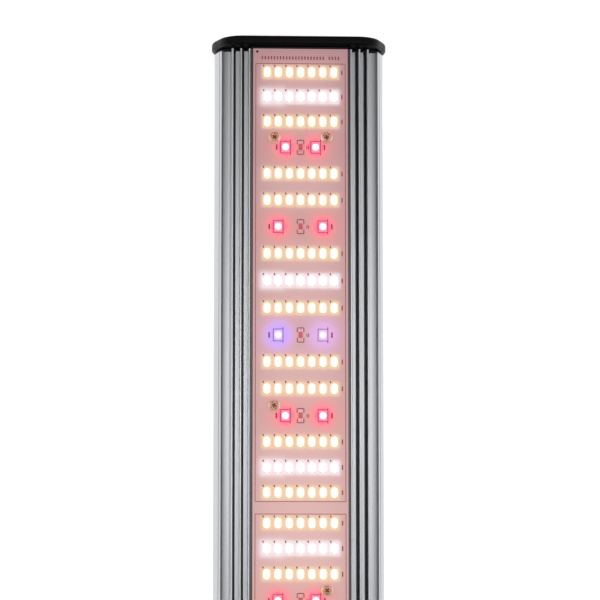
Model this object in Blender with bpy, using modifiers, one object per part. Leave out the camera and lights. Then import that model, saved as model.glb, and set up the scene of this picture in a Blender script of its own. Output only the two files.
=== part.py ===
"""A bar-shaped LED grow light: a finned aluminium extrusion between two black end caps.

The bar lies on its back along X. The LED boards face +Z, the power inlet is at the -X end,
and Z = 0 is the plane that the backs of the two end caps stand on. Sizes are in metres.
"""

import math

import bmesh
import bpy
from mathutils import Matrix, Vector

MM = 0.001

# Fits
CLEARANCE = 0.3 * MM  # between neighbours that only pass or face each other
SEAT_GAP = 0.12 * MM  # between a part and what it is pressed or screwed onto
RUNNING_FIT = 0.25 * MM  # round a wire that turns in its hole

# End caps: one barrel outline, which the housing follows a little further in
SIDE_REACH = 7.05 * MM  # from the last fin to the caps' widest point
CAP_DEPTH = 32.0 * MM
CAP_THICKNESS = 3.4 * MM
CAP_OVERHANG = 1.1 * MM
CAP_EDGE_RADIUS = 0.8 * MM
SIDE_SLOPE = math.radians(21.0)
WAIST_RADIUS = 15.0 * MM
CORNER_RADIUS = 6.0 * MM
CAP_RIB_THICKNESS = 1.3 * MM
CAP_RIB_REACH = 2.6 * MM
CAP_RIB_HEIGHT = 9.0 * MM
CAP_RIB_GAP = 0.5 * MM  # from the inlet's side to the rib beside it

# Housing extrusion
WALL = 1.6 * MM
SEAT_PLATE = 2.4 * MM
FIN_THICKNESS = 0.64 * MM
FIN_PITCH = 3.05 * MM
FIN_COUNT = 3
FIN_TIP_RADIUS = 0.2 * MM
FIRST_FIN_GAP = 1.0 * MM  # from the board's edge to the first fin
FIN_TIP_DROP = 2.4 * MM  # below the caps' front plane
LEDGE_DROP = 8.0 * MM
GROOVE_WIDTH = 0.95 * MM
GROOVE_DROP = 12.0 * MM
SHOULDER_DROP = 9.0 * MM
SIDE_TIP_DROP = 7.2 * MM
SIDE_TIP_CHAMFER = 0.6 * MM

# T-slot along the back, for the hangers
SLOT_MOUTH = 14.0 * MM
SLOT_WIDTH = 21.0 * MM
SLOT_LIP = 1.6 * MM
SLOT_UNDERCUT = 4.4 * MM
SLOT_WEB = 1.4 * MM

# LED boards
BOARD_WIDTH = 34.0 * MM
BOARD_THICKNESS = 1.6 * MM
BOARD_DROP = 1.1 * MM
BOARD_COUNT = 2
BOARD_GAP = 0.6 * MM
BOARD_END_MARGIN = 5.6 * MM
SEGMENTS_PER_BOARD = 2
SEGMENT_MARGIN = 5.4 * MM  # from a segment's last row to the middle of the gap beyond it
SEGMENT_GAP = 4.7 * MM
PAD_THICKNESS = 0.5 * MM
PAD_INSET = 0.6 * MM

# Rows of one segment, each a step further out from the row across its middle
ROW_STEPS = (9.8 * MM, 9.7 * MM, 9.6 * MM, 9.6 * MM, 9.6 * MM, 9.3 * MM, 9.1 * MM, 8.9 * MM)
COLOUR_STEPS = (1, 4)  # the steps that lead to a pair of coloured LEDs, not to a row of white ones
LEDS_PER_ROW = 7
LED_PITCH = 4.0 * MM
LED_WIDTH = 2.8 * MM
LED_LENGTH = 3.5 * MM
LED_HEIGHT = 0.7 * MM
COLOUR_LED_OFFSET = 8.0 * MM
COLOUR_LED_BESIDE_SCREW = 5.4 * MM
RESISTOR_WIDTH = 1.6 * MM
RESISTOR_LENGTH = 3.2 * MM
RESISTOR_HEIGHT = 0.55 * MM
SUNK = 0.2 * MM  # how far a soldered part reaches into the board, so that the two are one solid

# Screws
BOARD_SCREW_OFFSET = 9.4 * MM
BOARD_SCREW_LEAD = 3.6 * MM  # from the outer colour row, towards the +X end
BOARD_SCREW_RADIUS = 1.2 * MM
BOARD_SCREW_LENGTH = 4.4 * MM
BOARD_HEAD_RADIUS = 2.2 * MM
BOARD_HEAD_HEIGHT = 1.2 * MM
CAP_SCREW_RADIUS = 1.4 * MM
CAP_SCREW_LENGTH = 10.0 * MM
CAP_HEAD_RADIUS = 2.5 * MM
CAP_HEAD_HEIGHT = 1.5 * MM
CAP_SCREW_RECESS = 1.8 * MM
PORT_WALL = 1.2 * MM
LOW_PORT_RISE = 3.9 * MM  # above the chamber's floor
LOW_PORT_BITE = 0.2 * MM  # how far its wall runs into the housing's sloping side
HIGH_PORT_OUT = 0.3 * MM  # beyond the last fin's inner face
HIGH_PORT_BITE = 1.0 * MM  # how far its wall runs into the groove's floor above it

# Gaskets under the end caps
GASKET_THICKNESS = 0.8 * MM
WINDOW_RISE = 0.5 * MM  # above the chamber's floor
WINDOW_MARGIN = 1.5 * MM  # above and below the inlet
WINDOW_RADIUS = 1.5 * MM

# Power inlet in the -X end cap
INLET_WIDTH = 25.0 * MM
INLET_HEIGHT = 11.6 * MM
INLET_RADIUS = 3.0 * MM
INLET_WALL = 1.2 * MM
INLET_DEPTH = 15.0 * MM
INLET_BACK = 3.0 * MM
FLANGE_MARGIN = 1.8 * MM
FLANGE_THICKNESS = 1.6 * MM
PIN_COUNT = 3
PIN_PITCH = 7.2 * MM
PIN_RADIUS = 1.1 * MM
PIN_SETBACK = 2.0 * MM
PIN_TAIL = 4.0 * MM

# Driver inside the housing
DRIVER_LENGTH = 270.0 * MM
DRIVER_FROM_INLET = 26.0 * MM
TRAY_HALF_WIDTH = 14.5 * MM
TRAY_HEIGHT = 9.0 * MM
TRAY_WALL = 1.0 * MM
CIRCUIT_THICKNESS = 1.6 * MM
CIRCUIT_RAISE = 1.2 * MM
CIRCUIT_MARGIN = 2.0 * MM  # from each end of the tray
PART_STEP = 30.0 * MM
COIL_LENGTH = 18.0 * MM
COIL_WIDTH = 18.0 * MM
COIL_HEIGHT = 9.5 * MM
CAN_RADIUS = 4.8 * MM
CAN_SPACING = 13.0 * MM
CAN_HEIGHTS = (6.6 * MM, 8.5 * MM)
LEAD_RADIUS = 1.1 * MM
LEAD_HOLE_RADIUS = 2.0 * MM
LEAD_HOLE_OFFSET = 7.0 * MM
LEAD_SPACING = 3.6 * MM
LEAD_BEND = 5.0 * MM  # how far before or after a fixed end a lead begins to bend
LEAD_LIFT = 2.0 * MM

# Hangers: a frame that slides in the T-slot and a wire bail that folds into it
HANGER_FROM_END = 100.0 * MM
FRAME_LENGTH = 36.0 * MM
FRAME_RAIL = 3.6 * MM
FRAME_END = 4.0 * MM
FRAME_CORNER = 1.5 * MM
PIVOT_FROM_END = 5.0 * MM
BAIL_WIRE_RADIUS = 0.95 * MM
BAIL_BEND = 1.15 * MM
BAIL_GRIP = 2.4 * MM  # how far each end of the wire goes into its hole

# What follows from those sizes
MIDDLE_Z = CAP_DEPTH / 2
BACK_Z = CAP_OVERHANG
SIDE_FLOOR_Z = BACK_Z + WALL
BOARD_TOP = CAP_DEPTH - BOARD_DROP
BOARD_BOTTOM = BOARD_TOP - BOARD_THICKNESS
PAD_TOP = BOARD_BOTTOM - SEAT_GAP
SEAT_Z = PAD_TOP - PAD_THICKNESS - SEAT_GAP
FIN_TIP_Z = CAP_DEPTH - FIN_TIP_DROP
LEDGE_Z = CAP_DEPTH - LEDGE_DROP
GROOVE_Z = CAP_DEPTH - GROOVE_DROP
SHOULDER_Z = CAP_DEPTH - SHOULDER_DROP
SIDE_TIP_Z = CAP_DEPTH - SIDE_TIP_DROP
SLOT_LIP_Z = BACK_Z + SLOT_LIP
SLOT_TOP_Z = SLOT_LIP_Z + SLOT_UNDERCUT
CHAMBER_FLOOR_Z = SLOT_TOP_Z + SLOT_WEB
WINDOW_LOW = CHAMBER_FLOOR_Z + WINDOW_RISE
WINDOW_HEIGHT = INLET_HEIGHT + 2 * WINDOW_MARGIN
WINDOW_HALF_WIDTH = INLET_WIDTH / 2 + CAP_RIB_GAP + CAP_RIB_THICKNESS + CLEARANCE
INLET_CENTRE = WINDOW_LOW + WINDOW_HEIGHT / 2
FIRST_FIN = BOARD_WIDTH / 2 + FIRST_FIN_GAP
LAST_FIN = FIRST_FIN + (FIN_COUNT - 1) * FIN_PITCH
CAP_HALF_WIDTH = LAST_FIN + FIN_THICKNESS + SIDE_REACH
PORT_RADIUS = CAP_SCREW_RADIUS + PORT_WALL
ROWS_OUT = [sum(ROW_STEPS[: count + 1]) for count in range(len(ROW_STEPS))]
COLOUR_ROWS = [ROWS_OUT[step] for step in COLOUR_STEPS]
WHITE_ROWS = [row for row in ROWS_OUT if row not in COLOUR_ROWS]
SEGMENT_PITCH = 2 * (ROWS_OUT[-1] + SEGMENT_MARGIN)
BOARD_LENGTH = SEGMENTS_PER_BOARD * SEGMENT_PITCH - SEGMENT_GAP + 2 * BOARD_END_MARGIN
BOARD_PITCH = BOARD_LENGTH + BOARD_GAP
HOUSING_LENGTH = BOARD_COUNT * BOARD_PITCH
HOUSING_END = HOUSING_LENGTH / 2
CAP_INNER_FACE = HOUSING_END + GASKET_THICKNESS + 2 * SEAT_GAP
CAP_OUTER_FACE = CAP_INNER_FACE + CAP_THICKNESS
HOUSING_INSET = CAP_OVERHANG
CHAMBER_INSET = CAP_OVERHANG + WALL
FRAME_LOW_Z = SLOT_LIP_Z + CLEARANCE
FRAME_THICKNESS = SLOT_UNDERCUT - 2 * CLEARANCE
FRAME_WIDTH = SLOT_WIDTH - 2 * CLEARANCE
FRAME_WINDOW = FRAME_WIDTH - 2 * FRAME_RAIL
PIVOT_Z = FRAME_LOW_Z + FRAME_THICKNESS / 2
BAIL_HALF_WIDTH = FRAME_WINDOW / 2 - CLEARANCE - BAIL_WIRE_RADIUS
WINDOW_LENGTH = FRAME_LENGTH - 2 * FRAME_END
BAIL_REACH = WINDOW_LENGTH - PIVOT_FROM_END - BAIL_WIRE_RADIUS - CLEARANCE
HANGER_X = HOUSING_END - HANGER_FROM_END


def clear_scene():
    for obj in list(bpy.data.objects):
        bpy.data.objects.remove(obj, do_unlink=True)


def new_collection(name):
    collection = bpy.data.collections.new(name)
    bpy.context.scene.collection.children.link(collection)
    return collection


def finish(name, colour, roughness, metallic):
    """A plain material of one colour."""
    material = bpy.data.materials.new(name)
    material.use_nodes = True
    shader = material.node_tree.nodes["Principled BSDF"]
    shader.inputs["Base Color"].default_value = (*colour, 1.0)
    shader.inputs["Roughness"].default_value = roughness
    shader.inputs["Metallic"].default_value = metallic
    material.diffuse_color = (*colour, 1.0)
    return material


def add_part(name, mesh, material, parent, location=(0.0, 0.0, 0.0), rotation=(0.0, 0.0, 0.0)):
    """A visible piece of the light, in the collection that holds its parts."""
    part = bpy.data.objects.new(name, mesh)
    if not mesh.materials:
        mesh.materials.append(material)
    part.location = location
    part.rotation_euler = rotation
    part.parent = parent
    parts_collection.objects.link(part)
    return part


def add_helper(name, mesh):
    """A cutter, or a shape that is joined to a part, which isn't a piece itself."""
    helper = bpy.data.objects.new(name, mesh)
    helper.hide_render = True
    helper.display_type = "WIRE"
    helpers_collection.objects.link(helper)
    return helper


def add_empty(name, location, parent):
    empty = bpy.data.objects.new(name, None)
    empty.location = location
    empty.parent = parent
    parts_collection.objects.link(empty)
    return empty


def baked(obj):
    """The object's mesh as its modifiers leave it, in its own frame, with doubled points merged."""
    bpy.context.view_layer.update()
    graph = bpy.context.evaluated_depsgraph_get()
    mesh = bpy.data.meshes.new_from_object(obj.evaluated_get(graph))
    edit = bmesh.new()
    edit.from_mesh(mesh)
    bmesh.ops.remove_doubles(edit, verts=edit.verts, dist=1e-7)
    edit.to_mesh(mesh)
    edit.free()
    bpy.data.objects.remove(obj, do_unlink=True)
    return mesh


def combine(obj, other, operation):
    modifier = obj.modifiers.new(other.name, "BOOLEAN")
    modifier.operation = operation
    modifier.object = other


def shade_round(mesh, angle=math.radians(35.0)):
    mesh.shade_smooth()
    mesh.set_sharp_from_angle(angle=angle)


def rounded(corners, steps=3):
    """The outline through corners of (x, y, radius), each with its corner rounded by an arc."""
    outline = []
    count = len(corners)
    for index, (x, y, radius) in enumerate(corners):
        corner = Vector((x, y))
        previous, following = corners[index - 1], corners[(index + 1) % count]
        before = Vector(previous[:2]) - corner
        after = Vector(following[:2]) - corner
        half_angle = before.angle(after) / 2
        reach = radius / math.tan(half_angle)
        if radius > 0.0:
            # Two corners share the edge between them in the ratio of their radii.
            reach = min(reach, 0.98 * before.length * radius / (radius + previous[2]))
            reach = min(reach, 0.98 * after.length * radius / (radius + following[2]))
        if radius <= 0.0 or reach < 1e-7:
            outline.append((x, y))
            continue
        fillet = reach * math.tan(half_angle)
        middle = (before.normalized() + after.normalized()).normalized()
        centre = corner + middle * (fillet / math.sin(half_angle))
        first = corner + before.normalized() * reach - centre
        last = corner + after.normalized() * reach - centre
        turn = first.angle_signed(last)
        for step in range(steps + 1):
            spoke = Matrix.Rotation(-turn * step / steps, 2) @ first
            outline.append((centre.x + spoke.x, centre.y + spoke.y))
    return outline


def both_sides(right_half):
    """A whole run of corners from those on the +Y side, which run from the back to the front."""
    left_half = [(-y, z, radius) for y, z, radius in reversed(right_half)]
    return right_half + left_half


def circle(centre, radius, sides=8):
    step = 2 * math.pi / sides
    return [
        (centre[0] + radius * math.cos(step * i), centre[1] + radius * math.sin(step * i))
        for i in range(sides)
    ]


def box_outline(half_width, low, high, radius):
    return rounded(
        [
            (half_width, low, radius),
            (half_width, high, radius),
            (-half_width, high, radius),
            (-half_width, low, radius),
        ]
    )


def extruded(name, outlines, length):
    """The mesh of a flat outline, with any inner outlines as holes, drawn out to a length."""
    curve = bpy.data.curves.new(name, "CURVE")
    curve.dimensions = "2D"
    curve.fill_mode = "BOTH"
    curve.extrude = length / 2
    for outline in outlines:
        spline = curve.splines.new("POLY")
        spline.points.add(len(outline) - 1)
        for point, (x, y) in zip(spline.points, outline):
            point.co = (x, y, 0.0, 1.0)
        spline.use_cyclic_u = True
    drawn = bpy.data.objects.new(name, curve)
    helpers_collection.objects.link(drawn)
    return baked(drawn)


def along_x(name, outlines, start, end):
    """An extrusion whose outline lies in Y and Z, from start to end along X."""
    mesh = extruded(name, outlines, end - start)
    turn = Matrix.Rotation(math.pi / 2, 4, "Z") @ Matrix.Rotation(math.pi / 2, 4, "X")
    mesh.transform(Matrix.Translation(((start + end) / 2, 0.0, 0.0)) @ turn)
    return mesh


def box(edit, low, high):
    """Adds a box between two corners to an edited mesh."""
    low, high = Vector(low), Vector(high)
    size = Matrix.Diagonal((*(high - low), 1.0))
    bmesh.ops.create_cube(edit, size=1.0, matrix=Matrix.Translation((low + high) / 2) @ size)


def rod(edit, start, end, radius, sides=8):
    """Adds a cylinder between two points to an edited mesh."""
    start, end = Vector(start), Vector(end)
    turn = (end - start).to_track_quat("Z", "X").to_matrix().to_4x4()
    bmesh.ops.create_cone(
        edit,
        cap_ends=True,
        segments=sides,
        radius1=radius,
        radius2=radius,
        depth=(end - start).length,
        matrix=Matrix.Translation((start + end) / 2) @ turn,
    )


def hole_radius(radius, gap, sides=8):
    """The radius to the corners of a hole whose flat sides clear a round piece by the gap."""
    return (radius + gap) / math.cos(math.pi / sides)


def mesh_of(name, edit):
    mesh = bpy.data.meshes.new(name)
    edit.to_mesh(mesh)
    edit.free()
    return mesh


def wire(name, points, radius, sides=2):
    """The mesh of a round wire through the points, with closed ends."""
    curve = bpy.data.curves.new(name, "CURVE")
    curve.dimensions = "3D"
    curve.bevel_depth = radius
    curve.bevel_resolution = sides
    curve.use_fill_caps = True
    spline = curve.splines.new("POLY")
    spline.points.add(len(points) - 1)
    for point, place in zip(spline.points, points):
        point.co = (*place, 1.0)
    drawn = bpy.data.objects.new(name, curve)
    helpers_collection.objects.link(drawn)
    mesh = baked(drawn)
    shade_round(mesh)
    return mesh


def smooth_path(knots, steps=3):
    """Points along a Catmull-Rom curve through the knots."""
    ends = [2 * Vector(knots[0]) - Vector(knots[1]), 2 * Vector(knots[-1]) - Vector(knots[-2])]
    chain = [ends[0], *map(Vector, knots), ends[1]]
    path = []
    for a, b, c, d in zip(chain, chain[1:], chain[2:], chain[3:]):
        for step in range(steps):
            t = step / steps
            square = 2 * a - 5 * b + 4 * c - d
            cube = 3 * b - a - 3 * c + d
            path.append(b + ((c - a) * t + square * t**2 + cube * t**3) / 2)
    path.append(Vector(knots[-1]))
    return path


# The barrel outline that the end caps and the housing share


def barrel_apex(inset):
    """Where the two sloping sides would meet at the waist, if the waist weren't rounded."""
    rise = (WAIST_RADIUS - inset) * (1 / math.cos(SIDE_SLOPE) - 1)
    return CAP_HALF_WIDTH - inset + rise


def barrel_side(z, inset):
    """How far out the sloping side lies at a height."""
    return barrel_apex(inset) - abs(z - MIDDLE_Z) * math.tan(SIDE_SLOPE)


def barrel_back(inset):
    """The corners of the back half of the outline on the +Y side: back corner, then waist."""
    return [
        (barrel_side(inset, inset), inset, CORNER_RADIUS - inset),
        (barrel_apex(inset), MIDDLE_Z, WAIST_RADIUS - inset),
    ]


def cap_outline():
    front_corner = (barrel_side(0.0, 0.0), CAP_DEPTH, CORNER_RADIUS)
    return rounded(both_sides([*barrel_back(0.0), front_corner]), steps=4)


# Housing


def fin_corners():
    """From the shoulder to the board seat on the +Y side: each fin, its ledge and the groove beyond it."""
    corners = []
    for index in reversed(range(FIN_COUNT)):
        inner = FIRST_FIN + index * FIN_PITCH
        outer = inner + FIN_THICKNESS
        if index == FIN_COUNT - 1:
            corners.append((outer, SHOULDER_Z, 0.0))
        else:
            groove = inner + FIN_PITCH - GROOVE_WIDTH
            corners.append((groove, GROOVE_Z, 0.0))
            corners.append((groove, LEDGE_Z, 0.0))
            corners.append((outer, LEDGE_Z, 0.0))
        corners.append((outer, FIN_TIP_Z, FIN_TIP_RADIUS))
        corners.append((inner, FIN_TIP_Z, FIN_TIP_RADIUS))
        corners.append((inner, GROOVE_Z if index else SEAT_Z, 0.0))
    return corners


def housing_outline():
    tip = barrel_side(SIDE_TIP_Z, HOUSING_INSET)
    inner_tip_z = SIDE_TIP_Z - SIDE_TIP_CHAMFER
    half = [
        (SLOT_WIDTH / 2, SLOT_TOP_Z, 0.0),
        (SLOT_WIDTH / 2, SLOT_LIP_Z, 0.0),
        (SLOT_MOUTH / 2, SLOT_LIP_Z, 0.0),
        (SLOT_MOUTH / 2, BACK_Z, 0.0),
        *barrel_back(HOUSING_INSET),
        (tip, SIDE_TIP_Z, FIN_TIP_RADIUS),
        (tip - SIDE_TIP_CHAMFER, inner_tip_z, 0.0),
        (tip - SIDE_TIP_CHAMFER, SHOULDER_Z, 0.0),
        *fin_corners(),
    ]
    return rounded(both_sides(half), steps=4)


def chamber_outline():
    """The hollow that runs through the housing: over the T-slot, under the fins and the board seat."""
    bump = SLOT_WIDTH / 2 + WALL
    under_shoulder = SHOULDER_Z - WALL
    under_groove = GROOVE_Z - WALL
    pedestal = FIRST_FIN + FIN_THICKNESS - WALL
    half = [
        (bump, CHAMBER_FLOOR_Z, 0.0),
        (bump, SIDE_FLOOR_Z, 0.0),
        (barrel_side(SIDE_FLOOR_Z, CHAMBER_INSET), SIDE_FLOOR_Z, CORNER_RADIUS - CHAMBER_INSET),
        (barrel_apex(CHAMBER_INSET), MIDDLE_Z, WAIST_RADIUS - CHAMBER_INSET),
        (barrel_side(under_shoulder, CHAMBER_INSET), under_shoulder, 0.0),
        (LAST_FIN + WALL, under_shoulder, 0.0),
        (LAST_FIN + WALL, under_groove, 0.0),
        (pedestal, under_groove, 0.0),
        (pedestal, SEAT_Z - SEAT_PLATE, 0.0),
    ]
    return rounded(both_sides(half), steps=3)


def port_places():
    """Where the end-cap screws bite: on each side one against the sloping wall and one under the fins."""
    low_z = SIDE_FLOOR_Z + LOW_PORT_RISE
    off_wall = (PORT_RADIUS - LOW_PORT_BITE) / math.cos(SIDE_SLOPE)
    low = (barrel_side(low_z, CHAMBER_INSET) - off_wall, low_z)
    high = (LAST_FIN + HIGH_PORT_OUT, GROOVE_Z - WALL + HIGH_PORT_BITE - PORT_RADIUS)
    return [(side * y, z) for side in (1, -1) for y, z in (low, high)]


def make_housing(material, root):
    mesh = along_x("housing_extrusion", [housing_outline(), chamber_outline()], -HOUSING_END, HOUSING_END)
    housing = add_part("housing_extrusion", mesh, material, root)

    bosses = bmesh.new()
    for y, z in port_places():
        rod(bosses, (-HOUSING_END, y, z), (HOUSING_END, y, z), PORT_RADIUS, sides=14)
    combine(housing, add_helper("port_bosses", mesh_of("port_bosses", bosses)), "UNION")

    holes = bmesh.new()
    beyond = HOUSING_END + CAP_THICKNESS
    for y, z in port_places():
        rod(holes, (-beyond, y, z), (beyond, y, z), CAP_SCREW_RADIUS + SEAT_GAP)
    for x, y in all_board_screws():
        depth = BOARD_TOP - BOARD_SCREW_LENGTH - CLEARANCE
        rod(holes, (x, y, depth), (x, y, BOARD_TOP), hole_radius(BOARD_SCREW_RADIUS, SEAT_GAP))
    for x, y in lead_holes():
        rod(holes, (x, y, SEAT_Z - SEAT_PLATE - WALL), (x, y, BOARD_TOP), LEAD_HOLE_RADIUS)
    combine(housing, add_helper("housing_holes", mesh_of("housing_holes", holes)), "DIFFERENCE")
    return housing


# LED boards


def board_places():
    """The middle of each board along X."""
    return [(index - (BOARD_COUNT - 1) / 2) * BOARD_PITCH for index in range(BOARD_COUNT)]


def segment_places():
    """The middle of each segment along a board, starting from the +X end."""
    last = SEGMENTS_PER_BOARD - 1
    return [(last / 2 - index) * SEGMENT_PITCH for index in range(SEGMENTS_PER_BOARD)]


def board_screws():
    """Places of one board's screws: a pair near each end, and single ones by turns between them."""
    rows = [middle + side * COLOUR_ROWS[-1] for middle in segment_places() for side in (1, -1)]
    places = []
    for index, row in enumerate(rows):
        if index in (0, len(rows) - 1):
            sides = (1, -1)
        else:
            sides = (1,) if index % 2 else (-1,)
        places += [(row + BOARD_SCREW_LEAD, side * BOARD_SCREW_OFFSET) for side in sides]
    return places


def all_board_screws():
    return [(middle + x, y) for middle in board_places() for x, y in board_screws()]


def lead_holes():
    """One hole through the seat under each board, near the end that faces the middle of the bar."""
    places = []
    for middle in board_places():
        inner_end = middle - math.copysign(BOARD_LENGTH / 2 - LEAD_HOLE_OFFSET, middle)
        places.append((inner_end, 0.0))
    return places


def colour_led_offset(x, side):
    """A coloured LED moves in where a screw stands beside it."""
    for screw_x, screw_y in board_screws():
        if abs(screw_x - x) < 2 * BOARD_SCREW_LEAD and screw_y * side > 0:
            return side * COLOUR_LED_BESIDE_SCREW
    return side * COLOUR_LED_OFFSET


def led_places():
    """Every LED on one board, as places along and across it."""
    places = []
    across = [(index - (LEDS_PER_ROW - 1) / 2) * LED_PITCH for index in range(LEDS_PER_ROW)]
    for middle in segment_places():
        rows = [0.0, *WHITE_ROWS, *(-row for row in WHITE_ROWS)]
        places += [(middle + row, y) for row in rows for y in across]
        for row in colour_rows():
            places += [(middle + row, colour_led_offset(middle + row, side)) for side in (1, -1)]
    return places


def colour_rows():
    return [side * row for row in COLOUR_ROWS for side in (1, -1)]


def soldered_parts():
    """The LED packages and resistors of one board, in one mesh."""
    edit = bmesh.new()
    for x, y in led_places():
        half = Vector((LED_LENGTH / 2, LED_WIDTH / 2))
        low = (x - half.x, y - half.y, BOARD_THICKNESS - SUNK)
        box(edit, low, (x + half.x, y + half.y, BOARD_THICKNESS + LED_HEIGHT))
    for middle in segment_places():
        for row in colour_rows():
            x = middle + row
            half = Vector((RESISTOR_LENGTH / 2, RESISTOR_WIDTH / 2))
            low = (x - half.x, -half.y, BOARD_THICKNESS - SUNK)
            box(edit, low, (x + half.x, half.y, BOARD_THICKNESS + RESISTOR_HEIGHT))
    return mesh_of("soldered_parts", edit)


def sheet_with_screw_holes(name, length, width, thickness):
    """A flat strip centred on the board, its lower face at z = 0, with the board's screw holes."""
    edit = bmesh.new()
    box(edit, (-length / 2, -width / 2, 0.0), (length / 2, width / 2, thickness))
    strip = add_helper(name, mesh_of(name, edit))
    holes = bmesh.new()
    for x, y in board_screws():
        start = (x, y, -thickness)
        rod(holes, start, (x, y, 2 * thickness), hole_radius(BOARD_SCREW_RADIUS, SEAT_GAP))
    combine(strip, add_helper(f"{name}_holes", mesh_of(f"{name}_holes", holes)), "DIFFERENCE")
    return strip


def make_boards(board_finish, pad_finish, root):
    board = sheet_with_screw_holes("led_board", BOARD_LENGTH, BOARD_WIDTH, BOARD_THICKNESS)
    combine(board, add_helper("soldered_parts", soldered_parts()), "UNION")
    board_mesh = baked(board)

    pad = sheet_with_screw_holes(
        "thermal_pad", BOARD_LENGTH - 2 * PAD_INSET, BOARD_WIDTH - 2 * PAD_INSET, PAD_THICKNESS
    )
    passage = bmesh.new()
    for direction in (1, -1):
        x = direction * (BOARD_LENGTH / 2 - LEAD_HOLE_OFFSET)
        rod(passage, (x, 0.0, -PAD_THICKNESS), (x, 0.0, 2 * PAD_THICKNESS), LEAD_HOLE_RADIUS)
    combine(pad, add_helper("pad_passage", mesh_of("pad_passage", passage)), "DIFFERENCE")
    pad_mesh = baked(pad)

    for index, x in enumerate(board_places(), 1):
        add_part(f"led_board_{index}", board_mesh, board_finish, root, (x, 0.0, BOARD_BOTTOM))
        pad_z = PAD_TOP - PAD_THICKNESS
        add_part(f"thermal_pad_{index}", pad_mesh, pad_finish, root, (x, 0.0, pad_z))


# Screws


def screw_mesh(name, radius, length, head_radius, head_height):
    """A pan-head screw with the underside of its head at z = 0 and its shank down -Z."""
    shoulder = (0.75 * head_radius, 0.85 * head_height)  # where the crown turns down to the rim
    profile = [
        (0.0, head_height),
        shoulder,
        (head_radius, 0.0),
        (radius, 0.0),
        (radius, -length),
        (0.0, -length),
    ]
    edit = bmesh.new()
    points = [edit.verts.new((x, 0.0, z)) for x, z in profile]
    for start, end in zip(points, points[1:]):
        edit.edges.new((start, end))
    turned = add_helper(name, mesh_of(name, edit))
    spin = turned.modifiers.new("turned", "SCREW")
    spin.steps = spin.render_steps = 10
    spin.use_merge_vertices = True
    spin.merge_threshold = 1e-6
    mesh = baked(turned)
    shade_round(mesh)
    return mesh


def make_screws(board_screw_finish, cap_screw_finish, root):
    mesh = screw_mesh(
        "board_screw", BOARD_SCREW_RADIUS, BOARD_SCREW_LENGTH, BOARD_HEAD_RADIUS, BOARD_HEAD_HEIGHT
    )
    for index, (x, y) in enumerate(all_board_screws(), 1):
        place = (x, y, BOARD_TOP + SEAT_GAP)
        add_part(f"board_screw_{index:02d}", mesh, board_screw_finish, root, place)

    mesh = screw_mesh(
        "cap_screw", CAP_SCREW_RADIUS, CAP_SCREW_LENGTH, CAP_HEAD_RADIUS, CAP_HEAD_HEIGHT
    )
    seat = CAP_OUTER_FACE - CAP_SCREW_RECESS + SEAT_GAP
    for end_name, end in (("far", 1), ("inlet", -1)):
        for index, (y, z) in enumerate(port_places(), 1):
            turn = (0.0, end * math.pi / 2, 0.0)
            name = f"{end_name}_cap_screw_{index}"
            add_part(name, mesh, cap_screw_finish, root, (end * seat, y, z), turn)


# End caps and gaskets


def cap_mesh(name, inlet):
    """An end cap on the +X end, or one with the inlet's opening, drawn from its inner face outwards."""
    mesh = along_x(name, [cap_outline()], CAP_INNER_FACE, CAP_OUTER_FACE)
    cap = add_helper(name, mesh)
    bevel = cap.modifiers.new("edges", "BEVEL")
    bevel.width = CAP_EDGE_RADIUS
    bevel.segments = 2
    bevel.limit_method = "ANGLE"
    bevel.angle_limit = math.radians(60.0)

    ribs = bmesh.new()
    outer = WINDOW_HALF_WIDTH - CLEARANCE
    for side in (1, -1):
        near, far = sorted((side * outer, side * (outer - CAP_RIB_THICKNESS)))
        low = (CAP_INNER_FACE - CAP_RIB_REACH, near, INLET_CENTRE - CAP_RIB_HEIGHT / 2)
        high = (CAP_INNER_FACE + SUNK, far, INLET_CENTRE + CAP_RIB_HEIGHT / 2)
        box(ribs, low, high)
    combine(cap, add_helper(f"{name}_ribs", mesh_of(f"{name}_ribs", ribs)), "UNION")

    holes = bmesh.new()
    for y, z in port_places():
        radius = CAP_SCREW_RADIUS + SEAT_GAP
        rod(holes, (HOUSING_END, y, z), (CAP_OUTER_FACE + CAP_THICKNESS, y, z), radius)
    bored = add_helper(f"{name}_holes", mesh_of(f"{name}_holes", holes))
    combine(cap, bored, "DIFFERENCE")

    recesses = bmesh.new()
    for y, z in port_places():
        floor = CAP_OUTER_FACE - CAP_SCREW_RECESS
        radius = hole_radius(CAP_HEAD_RADIUS, CLEARANCE, sides=12)
        rod(recesses, (floor, y, z), (CAP_OUTER_FACE + CAP_THICKNESS, y, z), radius, sides=12)
    sunk = add_helper(f"{name}_recesses", mesh_of(f"{name}_recesses", recesses))
    combine(cap, sunk, "DIFFERENCE")

    if inlet:
        opening = inlet_outline(CLEARANCE)
        beyond = CAP_OUTER_FACE + CAP_THICKNESS
        through = along_x(f"{name}_opening", [opening], HOUSING_END, beyond)
        combine(cap, add_helper(f"{name}_opening", through), "DIFFERENCE")
        floor = CAP_OUTER_FACE - FLANGE_THICKNESS - SEAT_GAP
        pocket = along_x(f"{name}_pocket", [inlet_outline(FLANGE_MARGIN + CLEARANCE)], floor, beyond)
        combine(cap, add_helper(f"{name}_pocket", pocket), "DIFFERENCE")
    mesh = baked(cap)
    shade_round(mesh)
    return mesh


def gasket_outline():
    """A little inside the housing's end: the barrel up to the shoulder, then the board seat's block."""
    inset = HOUSING_INSET + CLEARANCE
    shoulder = SHOULDER_Z - CLEARANCE
    pedestal = FIRST_FIN - CLEARANCE
    corners = [
        *barrel_back(inset),
        (barrel_side(shoulder, inset), shoulder, 0.0),
        (pedestal, shoulder, 0.0),
        (pedestal, SEAT_Z - CLEARANCE, 0.0),
    ]
    return rounded(both_sides(corners), steps=4)


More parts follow.
